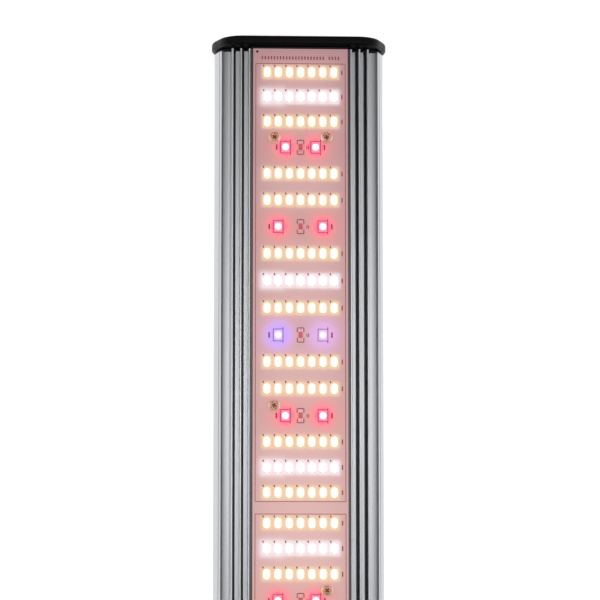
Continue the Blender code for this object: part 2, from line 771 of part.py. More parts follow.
def make_ends(cap_finish, gasket_finish, root):
    half_turn = (0.0, 0.0, math.pi)
    add_part("far_end_cap", cap_mesh("far_end_cap", inlet=False), cap_finish, root)
    add_part(
        "inlet_end_cap", cap_mesh("inlet_end_cap", inlet=True), cap_finish, root, rotation=half_turn
    )
    holes = [circle(place, CAP_SCREW_RADIUS + SEAT_GAP) for place in port_places()]
    top = WINDOW_LOW + WINDOW_HEIGHT
    window = box_outline(WINDOW_HALF_WIDTH, WINDOW_LOW, top, WINDOW_RADIUS)
    start = HOUSING_END + SEAT_GAP
    mesh = along_x("gasket", [gasket_outline(), window, *holes], start, start + GASKET_THICKNESS)
    add_part("far_end_gasket", mesh, gasket_finish, root)
    add_part("inlet_end_gasket", mesh, gasket_finish, root, rotation=half_turn)


# Power inlet


def pin_places():
    return [(index - (PIN_COUNT - 1) / 2) * PIN_PITCH for index in range(PIN_COUNT)]


def inlet_outline(margin):
    """The socket body's outline, or one that lies a margin outside it."""
    low = INLET_CENTRE - INLET_HEIGHT / 2 - margin
    high = INLET_CENTRE + INLET_HEIGHT / 2 + margin
    return box_outline(INLET_WIDTH / 2 + margin, low, high, INLET_RADIUS + margin)


def make_inlet(body_finish, pin_finish, root):
    """A snap-in socket: a flange let into the cap, a body through it and an open recess with pins."""
    face = -CAP_OUTER_FACE
    rear = face + INLET_DEPTH
    flange = along_x("power_inlet", [inlet_outline(FLANGE_MARGIN)], face, face + FLANGE_THICKNESS)
    inlet = add_part("power_inlet", flange, body_finish, root)
    body = along_x("inlet_body", [inlet_outline(0.0)], face + FLANGE_THICKNESS / 2, rear)
    combine(inlet, add_helper("inlet_body", body), "UNION")
    hollow = inlet_outline(-INLET_WALL)
    recess = along_x("inlet_recess", [hollow], face - FLANGE_THICKNESS, rear - INLET_BACK)
    combine(inlet, add_helper("inlet_recess", recess), "DIFFERENCE")

    bores = bmesh.new()
    for y in pin_places():
        start = (rear - 2 * INLET_BACK, y, INLET_CENTRE)
        rod(bores, start, (rear + INLET_BACK, y, INLET_CENTRE), hole_radius(PIN_RADIUS, SEAT_GAP))
    combine(inlet, add_helper("inlet_bores", mesh_of("inlet_bores", bores)), "DIFFERENCE")

    pin = bmesh.new()
    tip = face + PIN_SETBACK
    rod(pin, (tip, 0.0, 0.0), (rear + PIN_TAIL, 0.0, 0.0), PIN_RADIUS)
    mesh = mesh_of("inlet_pin", pin)
    shade_round(mesh)
    for index, y in enumerate(pin_places(), 1):
        add_part(f"inlet_pin_{index}", mesh, pin_finish, root, (0.0, y, INLET_CENTRE))
    return rear + PIN_TAIL


# Driver and its leads


def driver_parts(edit, start, end, floor):
    """What stands on the driver's circuit board: a wound coil, then two pairs of capacitors, by turns."""
    count = int((end - start) // PART_STEP)
    pitch = (end - start) / count
    low = floor - SUNK
    for index in range(count):
        x = start + (index + 0.5) * pitch
        if index % 3 == 1:
            half = Vector((COIL_LENGTH / 2, COIL_WIDTH / 2))
            box(edit, (x - half.x, -half.y, low), (x + half.x, half.y, floor + COIL_HEIGHT))
            continue
        for y in (CAN_SPACING / 2, -CAN_SPACING / 2):
            rod(edit, (x, y, low), (x, y, floor + CAN_HEIGHTS[index % 2]), CAN_RADIUS)


def make_driver(tray_finish, circuit_finish, lead_finish, inlet_rear, root):
    start = inlet_rear + DRIVER_FROM_INLET - PIN_TAIL
    end = start + DRIVER_LENGTH
    low = CHAMBER_FLOOR_Z + CLEARANCE
    corners = [
        (TRAY_HALF_WIDTH, low, TRAY_WALL),
        (TRAY_HALF_WIDTH, low + TRAY_HEIGHT, 0.0),
        (TRAY_HALF_WIDTH - TRAY_WALL, low + TRAY_HEIGHT, 0.0),
        (TRAY_HALF_WIDTH - TRAY_WALL, low + TRAY_WALL, 0.0),
    ]
    mesh = along_x("driver_tray", [rounded(both_sides(corners))], start, end)
    add_part("driver_tray", mesh, tray_finish, root)

    bottom = low + TRAY_WALL + CIRCUIT_RAISE
    half = TRAY_HALF_WIDTH - TRAY_WALL - CLEARANCE
    first, last = start + CIRCUIT_MARGIN, end - CIRCUIT_MARGIN
    floor = bottom + CIRCUIT_THICKNESS
    edit = bmesh.new()
    box(edit, (first, -half, bottom), (last, half, floor))
    circuit = add_part("driver_circuit", mesh_of("driver_circuit", edit), circuit_finish, root)
    standing = bmesh.new()
    driver_parts(standing, first, last, floor)
    combine(circuit, add_helper("driver_parts", mesh_of("driver_parts", standing)), "UNION")

    lead_z = floor + LEAD_RADIUS + CLEARANCE
    for index, y in enumerate(pin_places(), 1):
        target = (index - (PIN_COUNT + 1) / 2) * LEAD_SPACING
        knots = [
            (inlet_rear + CLEARANCE, y, INLET_CENTRE),
            (inlet_rear + LEAD_BEND, y, INLET_CENTRE),
            (start - LEAD_BEND, target, lead_z),
            (first, target, lead_z),
            (first + CIRCUIT_MARGIN, target, lead_z),
        ]
        mesh = wire(f"inlet_lead_{index}", smooth_path(knots), LEAD_RADIUS, sides=1)
        add_part(f"inlet_lead_{index}", mesh, lead_finish, root)

    for index, ((x, y), side) in enumerate(zip(lead_holes(), (1, -1)), 1):
        exit_y = side * LEAD_SPACING / 2
        knots = [
            (last - CIRCUIT_MARGIN, exit_y, lead_z),
            (end + CIRCUIT_MARGIN, exit_y, lead_z),
            ((end + x) / 2, side * LEAD_SPACING, lead_z),
            (x - LEAD_BEND, exit_y / 2, lead_z + LEAD_LIFT),
            (x - LEAD_RADIUS, y, (lead_z + SEAT_Z) / 2),
            (x, y, SEAT_Z - SEAT_PLATE),
            (x, y, PAD_TOP),
        ]
        mesh = wire(f"board_lead_{index}", smooth_path(knots), LEAD_RADIUS, sides=1)
        add_part(f"board_lead_{index}", mesh, lead_finish, root)


# Hangers


def frame_mesh(name):
    """The sliding frame, seen from above: a rounded rectangle with a window, bored across for the wire."""
    half_length, half_width = FRAME_LENGTH / 2, FRAME_WIDTH / 2
    outer = rounded(
        [
            (half_length, -half_width, FRAME_CORNER),
            (half_length, half_width, FRAME_CORNER),
            (-half_length, half_width, FRAME_CORNER),
            (-half_length, -half_width, FRAME_CORNER),
        ]
    )
    length, width = half_length - FRAME_END, FRAME_WINDOW / 2
    window = [(length, -width), (length, width), (-length, width), (-length, -width)]
    frame = add_helper(name, extruded(name, [outer, window], FRAME_THICKNESS))
    bore = bmesh.new()
    x = pivot_offset()
    radius = hole_radius(BAIL_WIRE_RADIUS, RUNNING_FIT)
    rod(bore, (x, -FRAME_WIDTH, 0.0), (x, FRAME_WIDTH, 0.0), radius)
    combine(frame, add_helper(f"{name}_bore", mesh_of(f"{name}_bore", bore)), "DIFFERENCE")
    return baked(frame)


def pivot_offset():
    """From the frame's middle back to the wire's axis."""
    return FRAME_END + PIVOT_FROM_END - FRAME_LENGTH / 2


def bail_mesh(name):
    """The wire bail, pointing along +X from its pivot, with its ends turned out into the frame."""
    side = BAIL_HALF_WIDTH
    end = FRAME_WINDOW / 2 + BAIL_GRIP
    half = [(0.0, end), (0.0, side + BAIL_BEND)]
    for step in range(1, 3):
        angle = math.radians(45.0 * step)
        across = side + BAIL_BEND * (1 - math.sin(angle))
        half.append((BAIL_BEND * (1 - math.cos(angle)), across))
    crown = BAIL_REACH - side
    for step in range(0, 5):
        angle = math.radians(22.5 * step)
        half.append((crown + side * math.sin(angle), side * math.cos(angle)))
    points = [(x, y, 0.0) for x, y in half]
    points += [(x, -y, 0.0) for x, y in reversed(half[:-1])]
    return wire(name, points, BAIL_WIRE_RADIUS, sides=2)


def make_hangers(frame_finish, bail_finish, root):
    frame = frame_mesh("hanger_frame")
    bail = bail_mesh("hanger_bail")
    for name, end in (("far", 1), ("inlet", -1)):
        turn = (0.0, 0.0, 0.0 if end > 0 else math.pi)
        slide = add_empty(f"{name}_hanger", (end * HANGER_X, 0.0, PIVOT_Z), root)
        slide.rotation_euler = turn
        add_part(f"{name}_hanger_frame", frame, frame_finish, slide)
        pivot = (pivot_offset(), 0.0, 0.0)
        add_part(f"{name}_hanger_bail", bail, bail_finish, slide, pivot)


clear_scene()
parts_collection = new_collection("led_grow_light")
helpers_collection = new_collection("cutters_and_joined_shapes")
light = add_empty("led_grow_light_root", (0.0, 0.0, 0.0), None)

aluminium = finish("satin_aluminium", (0.60, 0.61, 0.63), 0.38, 1.0)
black_plastic = finish("black_plastic", (0.012, 0.012, 0.013), 0.35, 0.0)
white_board = finish("white_board", (0.86, 0.80, 0.80), 0.45, 0.0)
grey_silicone = finish("grey_silicone", (0.35, 0.36, 0.38), 0.8, 0.0)
black_rubber = finish("black_rubber", (0.02, 0.02, 0.02), 0.8, 0.0)
yellow_zinc = finish("yellow_zinc", (0.75, 0.58, 0.36), 0.3, 1.0)
zinc = finish("zinc_steel", (0.55, 0.55, 0.56), 0.35, 1.0)
green_circuit = finish("green_circuit", (0.03, 0.16, 0.07), 0.5, 0.0)
tray_plastic = finish("tray_plastic", (0.75, 0.75, 0.72), 0.5, 0.0)
lead_insulation = finish("lead_insulation", (0.6, 0.05, 0.04), 0.5, 0.0)
pin_brass = finish("pin_brass", (0.75, 0.6, 0.3), 0.3, 1.0)
bright_steel = finish("bright_steel", (0.7, 0.7, 0.7), 0.25, 1.0)

make_housing(aluminium, light)
make_boards(white_board, grey_silicone, light)
make_screws(yellow_zinc, zinc, light)
make_ends(black_plastic, black_rubber, light)
inlet_rear_end = make_inlet(black_plastic, pin_brass, light)
make_driver(tray_plastic, green_circuit, lead_insulation, inlet_rear_end, light)
make_hangers(zinc, bright_steel, light)
bpy.context.view_layer.update()
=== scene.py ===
"""A bar-shaped LED grow light with its lamps lit: satin aluminium, black end caps, a long white board."""

import math

import bmesh
import bpy
import numpy as np
from mathutils import Matrix, Vector


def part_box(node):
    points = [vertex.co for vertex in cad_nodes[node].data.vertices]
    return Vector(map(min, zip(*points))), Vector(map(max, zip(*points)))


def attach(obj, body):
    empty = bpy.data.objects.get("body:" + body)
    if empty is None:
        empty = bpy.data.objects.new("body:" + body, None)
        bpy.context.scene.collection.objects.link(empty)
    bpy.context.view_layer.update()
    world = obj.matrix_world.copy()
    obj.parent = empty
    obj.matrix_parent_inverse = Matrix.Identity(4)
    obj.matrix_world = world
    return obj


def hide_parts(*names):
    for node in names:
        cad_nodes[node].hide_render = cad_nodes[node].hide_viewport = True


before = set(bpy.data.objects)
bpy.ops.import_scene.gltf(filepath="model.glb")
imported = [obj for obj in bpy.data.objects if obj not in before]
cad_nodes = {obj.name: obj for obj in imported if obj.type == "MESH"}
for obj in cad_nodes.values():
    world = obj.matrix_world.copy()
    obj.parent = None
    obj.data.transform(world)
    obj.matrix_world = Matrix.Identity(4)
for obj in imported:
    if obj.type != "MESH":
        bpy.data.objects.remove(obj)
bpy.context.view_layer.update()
MM = 0.001


# ---------------------------------------------------------------------------------------------
# Housing: one long aluminium profile, pressed through a die that leaves fine lines along it, then
# blasted and anodised to a satin grey. Fins and grooves cool the boards, and a slot along its back
# takes the hangers. It is cut to length and tapped at its ends for the cap screws.


def wired(tree, kind, inputs=None, **settings):
    """Adds a node with its settings, and sets or links its inputs."""
    made = tree.nodes.new(kind)
    for key, value in settings.items():
        setattr(made, key, value)
    for key, value in (inputs or {}).items():
        if isinstance(value, bpy.types.NodeSocket):
            tree.links.new(value, made.inputs[key])
        else:
            made.inputs[key].default_value = value
    return made


def worked(tree, operation, *values):
    """What a maths node makes of these numbers and sockets."""
    return wired(tree, "ShaderNodeMath", dict(enumerate(values)), operation=operation).outputs[0]


def object_place(tree):
    """Each point's own X, Y and Z on the object."""
    place = wired(tree, "ShaderNodeTexCoord").outputs["Object"]
    return wired(tree, "ShaderNodeSeparateXYZ", {0: place}).outputs


def tone(red, green, blue):
    """A colour as a screen shows it, 0 to 255, in the shader's own linear numbers."""
    shown = [channel / 255 for channel in (red, green, blue)]
    linear = [c / 12.92 if c <= 0.04045 else ((c + 0.055) / 1.055) ** 2.4 for c in shown]
    return (*linear, 1.0)


def new_finish(name, colour, roughness, metallic=0.0, **sockets):
    """A material with its plain values set, and the tree and shader for what varies over a piece."""
    material = bpy.data.materials.new(name)
    material.use_nodes = True
    tree = material.node_tree
    shader = tree.nodes["Principled BSDF"]
    values = {"Base Color": colour, "Roughness": roughness, "Metallic": metallic, **sockets}
    for key, value in values.items():
        shader.inputs[key].default_value = value
    material.diffuse_color = colour
    return material, tree, shader


def grain(tree, stretch, detail=2.0, roughness=0.5):
    """Noise that lies on the object: stretch is how many times it changes in a metre, each way."""
    place = wired(tree, "ShaderNodeTexCoord").outputs["Object"]
    laid = wired(tree, "ShaderNodeMapping", {"Vector": place, "Scale": stretch})
    inputs = {"Vector": laid.outputs[0], "Scale": 1.0, "Detail": detail, "Roughness": roughness}
    return wired(tree, "ShaderNodeTexNoise", inputs).outputs[0]


def spread(tree, value, low, high, start=0.3, stop=0.7):
    """Noise or a mask drawn out between two values."""
    inputs = {"Value": value, "From Min": start, "From Max": stop, "To Min": low, "To Max": high}
    return wired(tree, "ShaderNodeMapRange", inputs).outputs[0]


def mixed(tree, factor, first, second):
    """One colour going over to another where the factor rises."""
    node = wired(tree, "ShaderNodeMix", data_type="RGBA")
    for index, value in ((0, factor), (6, first), (7, second)):
        if isinstance(value, bpy.types.NodeSocket):
            tree.links.new(value, node.inputs[index])
        else:
            node.inputs[index].default_value = value
    return node.outputs[2]


def bumped(tree, shader, height, strength, distance):
    inputs = {"Height": height, "Strength": strength, "Distance": distance}
    tree.links.new(wired(tree, "ShaderNodeBump", inputs).outputs[0], shader.inputs["Normal"])


def painted_glow(tree, shader, shade, strength):
    """Gives a piece this shade and a painted glow of it, standing in for the light of the lamps beside
    it.
    """
    for socket in ("Base Color", "Emission Color"):
        tree.links.new(shade, shader.inputs[socket])
    shader.inputs["Emission Strength"].default_value = strength


def satin_metal(name, dark, light, roughness, lines, speck, bump):
    """Metal with drawn lines along X and a blasted grain over them."""
    material, tree, shader = new_finish(name, light, roughness[0], 1.0)
    drawn = grain(tree, (4.0, lines, lines), 3.0)
    blasted = grain(tree, (speck,) * 3, 2.0, 0.6)
    half = worked(tree, "MULTIPLY", worked(tree, "ADD", drawn, blasted), 0.5)
    shade = mixed(tree, spread(tree, half, 0.0, 1.0), dark, light)
    tree.links.new(shade, shader.inputs["Base Color"])
    tree.links.new(spread(tree, half, *roughness), shader.inputs["Roughness"])
    bumped(tree, shader, half, bump, 0.05 * MM)
    return material


def add_piece(name, mesh, finish, body="light", replaced=()):
    """Stands a finished mesh in the scene, on its body and in place of its CAD nodes."""
    piece = bpy.data.objects.new(name, mesh)
    bpy.context.scene.collection.objects.link(piece)
    if finish is not None:
        mesh.materials.clear()
        mesh.materials.append(finish)
    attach(piece, body)
    if replaced:
        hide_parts(*replaced)
    return piece


def plain_mesh(carrier):
    """What the carrier's modifiers make, as a mesh that holds it for good. The carrier goes."""
    bpy.context.view_layer.update()
    graph = bpy.context.evaluated_depsgraph_get()
    mesh = bpy.data.meshes.new_from_object(carrier.evaluated_get(graph))
    bpy.data.objects.remove(carrier, do_unlink=True)
    return mesh


def loose(name, mesh):
    """An object for the workbench only, such as a carrier of points or a cutter."""
    carrier = bpy.data.objects.new(name, mesh)
    bpy.context.scene.collection.objects.link(carrier)
    return carrier


def smoothed(mesh, sharp_angle):
    """The mesh with its rounded parts shaded as one, and its edges over this angle kept sharp."""
    mesh.shade_smooth()
    mesh.set_sharp_from_angle(angle=math.radians(sharp_angle))
    return mesh


def softened(mesh, sharp_angle):
    """The mesh with its rounded parts shaded as one, while its flat faces still shade flat."""
    carrier = loose(mesh.name, smoothed(mesh, sharp_angle))
    carrier.modifiers.new("flat_faces_stay_flat", "WEIGHTED_NORMAL").keep_sharp = True
    return plain_mesh(carrier)


def points_joined(mesh, distance):
    edit = bmesh.new()
    edit.from_mesh(mesh)
    bmesh.ops.remove_doubles(edit, verts=edit.verts, dist=distance)
    edit.to_mesh(mesh)
    edit.free()
    return mesh


def smooth_copy(node_name, sharp_angle=30.0):
    """The CAD piece's own faces with their points joined, its rounded parts shaded as one."""
    source = cad_nodes[node_name].data
    mesh = bpy.data.meshes.new(f"{node_name}_smooth")
    points = [vertex.co[:] for vertex in source.vertices]
    mesh.from_pydata(points, [], [face.vertices[:] for face in source.polygons])
    return softened(points_joined(mesh, 0.001 * MM), sharp_angle)


anodised = satin_metal(
    "satin_anodised_aluminium",
    dark=(0.56, 0.57, 0.59, 1.0),
    light=(0.68, 0.69, 0.71, 1.0),
    roughness=(0.30, 0.40),
    lines=1400.0,
    speck=2600.0,
    bump=0.25,
)

# Painted shade: hardly any light comes back out of the deep grooves between the fins, from the gap
# beside the board, or from the foot of the side wall, so these are painted dark.
GROOVE_FLOOR = 20.0 * MM
GROOVE_TOP = 24.0 * MM
FINS_REACH = 25.3 * MM
SEAT_REACH = 18.1 * MM
SEAT_HEIGHT = 28.5 * MM
SHOULDER_HEIGHT = 23.0 * MM
SHOULDER_SIDES = (25.6 * MM, 27.6 * MM)
GROOVE_PAINTED_SHADE, SEAT_PAINTED_SHADE, SHOULDER_PAINTED_SHADE = 0.94, 0.85, 0.62

tree = anodised.node_tree
shader = tree.nodes["Principled BSDF"]
place = object_place(tree)
aside = worked(tree, "ABSOLUTE", place[1])
among_fins = worked(tree, "LESS_THAN", aside, FINS_REACH)
over_floor = worked(tree, "GREATER_THAN", place[2], GROOVE_FLOOR - 0.5 * MM)
in_groove = worked(tree, "MULTIPLY", among_fins, over_floor)
groove = spread(tree, place[2], GROOVE_PAINTED_SHADE, 0.0, GROOVE_FLOOR, GROOVE_TOP)
groove = worked(tree, "MULTIPLY", groove, in_groove)
by_seat = worked(tree, "LESS_THAN", aside, SEAT_REACH)
at_seat = worked(tree, "COMPARE", place[2], SEAT_HEIGHT, 0.6 * MM)
seat = spread(tree, worked(tree, "MULTIPLY", by_seat, at_seat), 0.0, SEAT_PAINTED_SHADE)
at_shoulder = worked(tree, "COMPARE", place[2], SHOULDER_HEIGHT, 0.3 * MM)
shoulder = spread(tree, aside, 0.0, SHOULDER_PAINTED_SHADE, *SHOULDER_SIDES)
shoulder = worked(tree, "MULTIPLY", shoulder, at_shoulder)
dark = worked(tree, "MAXIMUM", worked(tree, "MAXIMUM", groove, seat), shoulder)
lit_shade = shader.inputs["Base Color"].links[0].from_socket
tree.links.new(mixed(tree, dark, lit_shade, (0.02, 0.02, 0.02, 1.0)), shader.inputs["Base Color"])
housing = smooth_copy("housing_extrusion")
add_piece("housing", housing, anodised, replaced=["housing_extrusion"])


# ---------------------------------------------------------------------------------------------
# LED boards: two aluminium-cored circuit boards end to end, 34 mm wide, with a white solder mask
# and thin printed marks. Each carries two like segments of LEDs. The lamps' light is painted on the
# mask as colour and glow: warm round the warm rows, white round the cool ones, red and violet round the
# others.

BOARD_THICKNESS = 1.6 * MM
BOARD_HALF_WIDTH = 17.0 * MM
SEGMENT_PITCH = 162.0 * MM
LED_ACROSS = 2.8 * MM
LED_ALONG = 3.5 * MM
LED_COLUMNS = [step * 4.0 * MM for step in range(-3, 4)]
WARM_ROWS = [side * row * MM for row in (9.8, 29.1, 38.7, 57.6, 75.6) for side in (1, -1)]
COOL_ROWS = [0.0, 66.7 * MM, -66.7 * MM]
VIOLET_ROW = -19.5 * MM
RED_ROWS = [19.5 * MM, 48.3 * MM, -48.3 * MM]
SCREW_LEAD = 3.6 * MM
SCREW_OFFSET = 9.4 * MM
BORE_RADIUS = 1.3 * MM
PAIR_OFFSET = 8.0 * MM
PAIR_OFFSET_AT_SCREW = 5.4 * MM
TINT_STEP = 0.6 * MM

board_boxes = [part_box(f"led_board_{number}") for number in (1, 2)]
board_middles = [(low.x + high.x) / 2 for low, high in board_boxes]
board_length = board_boxes[0][1].x - board_boxes[0][0].x
board_top = board_boxes[0][0].z + BOARD_THICKNESS

segment_middles = [
    middle + side * SEGMENT_PITCH / 2 for middle in board_middles for side in (1, -1)
]
board_screws = []
for middle in board_middles:
    first, second = middle + SEGMENT_PITCH / 2, middle - SEGMENT_PITCH / 2
    for row, sides in (
        (first + RED_ROWS[1], (1, -1)),
        (first + RED_ROWS[2], (1,)),
        (second + RED_ROWS[1], (-1,)),
        (second + RED_ROWS[2], (1, -1)),
    ):
        board_screws += [(row + SCREW_LEAD, side * SCREW_OFFSET) for side in sides]


def beside_screw(x, side):
    return any(abs(place - x) < 2 * SCREW_LEAD and y * side > 0 for place, y in board_screws)


def colour_places(rows):
    """The pairs of coloured LEDs in these rows, moved in where a screw stands beside one."""
    places = []
    for middle in segment_middles:
        for row in rows:
            for side in (1, -1):
                screwed = beside_screw(middle + row, side)
                offset = PAIR_OFFSET_AT_SCREW if screwed else PAIR_OFFSET
                places.append((middle + row, side * offset))
    return places


def row_places(rows):
    """The white LEDs in these rows of every segment."""
    return [(middle + row, y) for middle in segment_middles for row in rows for y in LED_COLUMNS]


warm_leds = row_places(WARM_ROWS)
cool_leds = row_places(COOL_ROWS)
red_leds = colour_places(RED_ROWS)
violet_leds = colour_places([VIOLET_ROW])


def face_outwards(mesh):
    edit = bmesh.new()
    edit.from_mesh(mesh)
    bmesh.ops.recalc_face_normals(edit, faces=edit.faces)
    edit.to_mesh(mesh)
    edit.free()
    return mesh


def kept(name, edit):
    mesh = bpy.data.meshes.new(name)
    edit.to_mesh(mesh)
    edit.free()
    return mesh


def cut(name, mesh, cutter_mesh):
    """The first mesh with the second taken out of it."""
    blank, cutter = loose(name, mesh), loose(f"{name}_cutter", cutter_mesh)
    modifier = blank.modifiers.new("cut", "BOOLEAN")
    modifier.operation = "DIFFERENCE"
    modifier.object = cutter
    made = plain_mesh(blank)
    bpy.data.objects.remove(cutter, do_unlink=True)
    return made


def reach(points, places, half_along, half_across):
    """How far each point lies from the nearest of the places, taken as rectangles."""
    nearest = np.full(len(points), 1.0)
    for x, y in places:
        along = np.maximum(np.abs(points[:, 0] - x) - half_along, 0.0)
        across = np.maximum(np.abs(points[:, 1] - y) - half_across, 0.0)
        nearest = np.minimum(nearest, np.hypot(along, across))
    return nearest


def crowding(points, places, near):
    """How thickly the lamps stand round each point, for the painted light on the mask."""
    total = np.zeros(len(points))
    for x, y in places:
        gap = np.hypot(points[:, 0] - x, points[:, 1] - y)
        total += 1.0 / (1.0 + (gap / near) ** 2) ** 1.5
    return total


def fade(distance, near, far):
    """1 up to near, falling smoothly to 0 at far."""
    share = np.clip((distance - near) / (far - near), 0.0, 1.0)
    return 1.0 - share * share * (3.0 - 2.0 * share)


def halo(distance, width):
    """1 at the lamp, falling like a bell of this width."""
    return np.exp(-((distance / width) ** 2))


LIT_MARGIN = 0.25 * MM
WARM_HALO = 0.65 * MM
COOL_HALO = 0.9 * MM
GLARE_HALO = 1.5 * MM
GLARE_FROM = 7 * MM
GLARE_STRENGTH = 0.9
CROWD_NEAR = 5.0 * MM
CROWD_FULL = 6.5
RED_FADES = ((1.3 * MM, 3.5 * MM), (1.8 * MM, 6.2 * MM), (0.0, 13.0 * MM))
VIOLET_FADES = ((1.8 * MM, 7.5 * MM), (1.2 * MM, 6.5 * MM), (0.0, 14.0 * MM))


def lamp_light(mesh):
    """Stores how strongly each kind of lamp lights each point of a board, for the painted light on its
    mask.
    """
    points = np.empty(len(mesh.vertices) * 3)
    mesh.vertices.foreach_get("co", points)
    points = points.reshape(-1, 3)
    near_x = points[:, 0].min() - 20 * MM, points[:, 0].max() + 20 * MM

    def here(places):
        return [place for place in places if near_x[0] < place[0] < near_x[1]]

    half = LED_ALONG / 2 + LIT_MARGIN, LED_ACROSS / 2
    warm = halo(reach(points, here(warm_leds), *half), WARM_HALO)
    cool = halo(reach(points, here(cool_leds), *half), COOL_HALO)
    left_cool = [place for place in here(cool_leds) if place[1] > GLARE_FROM]
    glare = halo(reach(points, left_cool, *half), GLARE_HALO)
    cool = np.maximum(cool, GLARE_STRENGTH * glare)
    crowd = crowding(points, here(warm_leds + cool_leds), CROWD_NEAR) / CROWD_FULL
    red = reach(points, here(red_leds), 0.0, 0.0)
    violet = reach(points, here(violet_leds), 0.0, 0.0)
    left_violet = [place for place in here(violet_leds) if place[1] > 0]
    left = reach(points, left_violet, 0.0, 0.0)
    masks = {
        "white_lamps": (warm, cool, np.clip(crowd, 0.0, 1.0)),
        "red_lamps": [fade(red, *ends) for ends in RED_FADES],
        "violet_lamps": [
            fade(gap, *ends) for gap, ends in zip((violet, left, violet), VIOLET_FADES)
        ],
    }
    for name, layers in masks.items():
        stored = mesh.attributes.new(name, "FLOAT_VECTOR", "POINT")
        stored.data.foreach_set("vector", np.stack(layers, axis=1).ravel())


def drill(edit, place, radius, depth, segments):
    """Adds a closed cylinder, for a bore to be cut with."""
    ends = {"radius1": radius, "radius2": radius, "depth": depth}
    bmesh.ops.create_cone(edit, cap_ends=True, segments=segments, matrix=place, **ends)


def board_sheet(middle):
    """One board: a closed sheet with a fine net of points on its face, bored for its screws."""
    edit = bmesh.new()
    steps = round(board_length / TINT_STEP), round(2 * BOARD_HALF_WIDTH / TINT_STEP)
    bmesh.ops.create_grid(edit, x_segments=steps[0], y_segments=steps[1], size=0.5)
    bmesh.ops.scale(edit, verts=edit.verts, vec=(board_length, 2 * BOARD_HALF_WIDTH, 1.0))
    rim = [edge for edge in edit.edges if edge.is_boundary]
    drawn = bmesh.ops.extrude_edge_only(edit, edges=rim)["geom"]
    lower = [item for item in drawn if isinstance(item, bmesh.types.BMVert)]
    bmesh.ops.translate(edit, verts=lower, vec=(0.0, 0.0, -BOARD_THICKNESS))
    rim = [edge for edge in edit.edges if edge.is_boundary]
    bmesh.ops.edgeloop_fill(edit, edges=rim)
    bmesh.ops.translate(edit, verts=edit.verts, vec=(middle, 0.0, board_top))
    bmesh.ops.recalc_face_normals(edit, faces=edit.faces)

    bores = bmesh.new()
    for x, y in board_screws:
        if abs(x - middle) < board_length / 2:
            place = Matrix.Translation((x, y, board_top))
            drill(bores, place, BORE_RADIUS, 6 * MM, 20)
    mesh = cut("board_sheet", kept("board_sheet", edit), kept("board_bores", bores))
    lamp_light(mesh)
    return mesh


def stored(tree, name):
    """The three masks that a board's points store under this name."""
    vector = wired(tree, "ShaderNodeAttribute", attribute_name=name).outputs["Vector"]
    return wired(tree, "ShaderNodeSeparateXYZ", {0: vector}).outputs


mask, tree, shader = new_finish("white_solder_mask", tone(214, 170, 165), 0.42)
white_lamps = stored(tree, "white_lamps")
red_lamps = stored(tree, "red_lamps")
violet_lamps = stored(tree, "violet_lamps")
# Painted lamp light on the mask: darker where the lamps stand sparse, lighter towards the middle of the
# bar, then a painted halo round each red, violet, warm and cool lamp.
shade = mixed(tree, white_lamps[2], tone(158, 118, 122), tone(220, 180, 174))
from_middle = worked(tree, "ABSOLUTE", object_place(tree)[0])
shade = mixed(tree, spread(tree, from_middle, 0.4, 0.0, 0.16, 0.33), shade, tone(222, 182, 174))
shade = mixed(tree, spread(tree, red_lamps[2], 0.0, 0.55, 0.0, 1.0), shade, tone(226, 138, 134))
shade = mixed(tree, spread(tree, violet_lamps[2], 0.0, 0.6, 0.0, 1.0), shade, tone(212, 160, 196))
shade = mixed(tree, red_lamps[1], shade, tone(246, 122, 136))
shade = mixed(tree, red_lamps[0], shade, tone(255, 82, 130))
shade = mixed(tree, violet_lamps[0], shade, tone(206, 162, 214))
shade = mixed(tree, violet_lamps[1], shade, tone(180, 152, 244))
shade = mixed(tree, white_lamps[0], shade, tone(216, 184, 154))
shade = mixed(tree, white_lamps[1], shade, tone(222, 208, 214))
weave = spread(tree, grain(tree, (1500.0,) * 3, 2.0), 0.94, 1.04)
# The mask glows with this painted colour, as painted light from the lamps on it.
painted_glow(tree, shader, shade, 0.78)
bumped(tree, shader, weave, 0.15, 0.02 * MM)

for number, middle in enumerate(board_middles, 1):
    sheet = board_sheet(middle)
    replaced = [f"led_board_{number}"]
    add_piece(f"board_sheet_{number}", sheet, mask, replaced=replaced)


# ---------------------------------------------------------------------------------------------
# LED packages: white moulded packages of 2.8 by 3.5 mm, soldered in rows of seven on tinned pads.
# A phosphor window fills the top of each and shines warm or cool white. Lit, the window and the
# package's walls are brighter than anything round them.


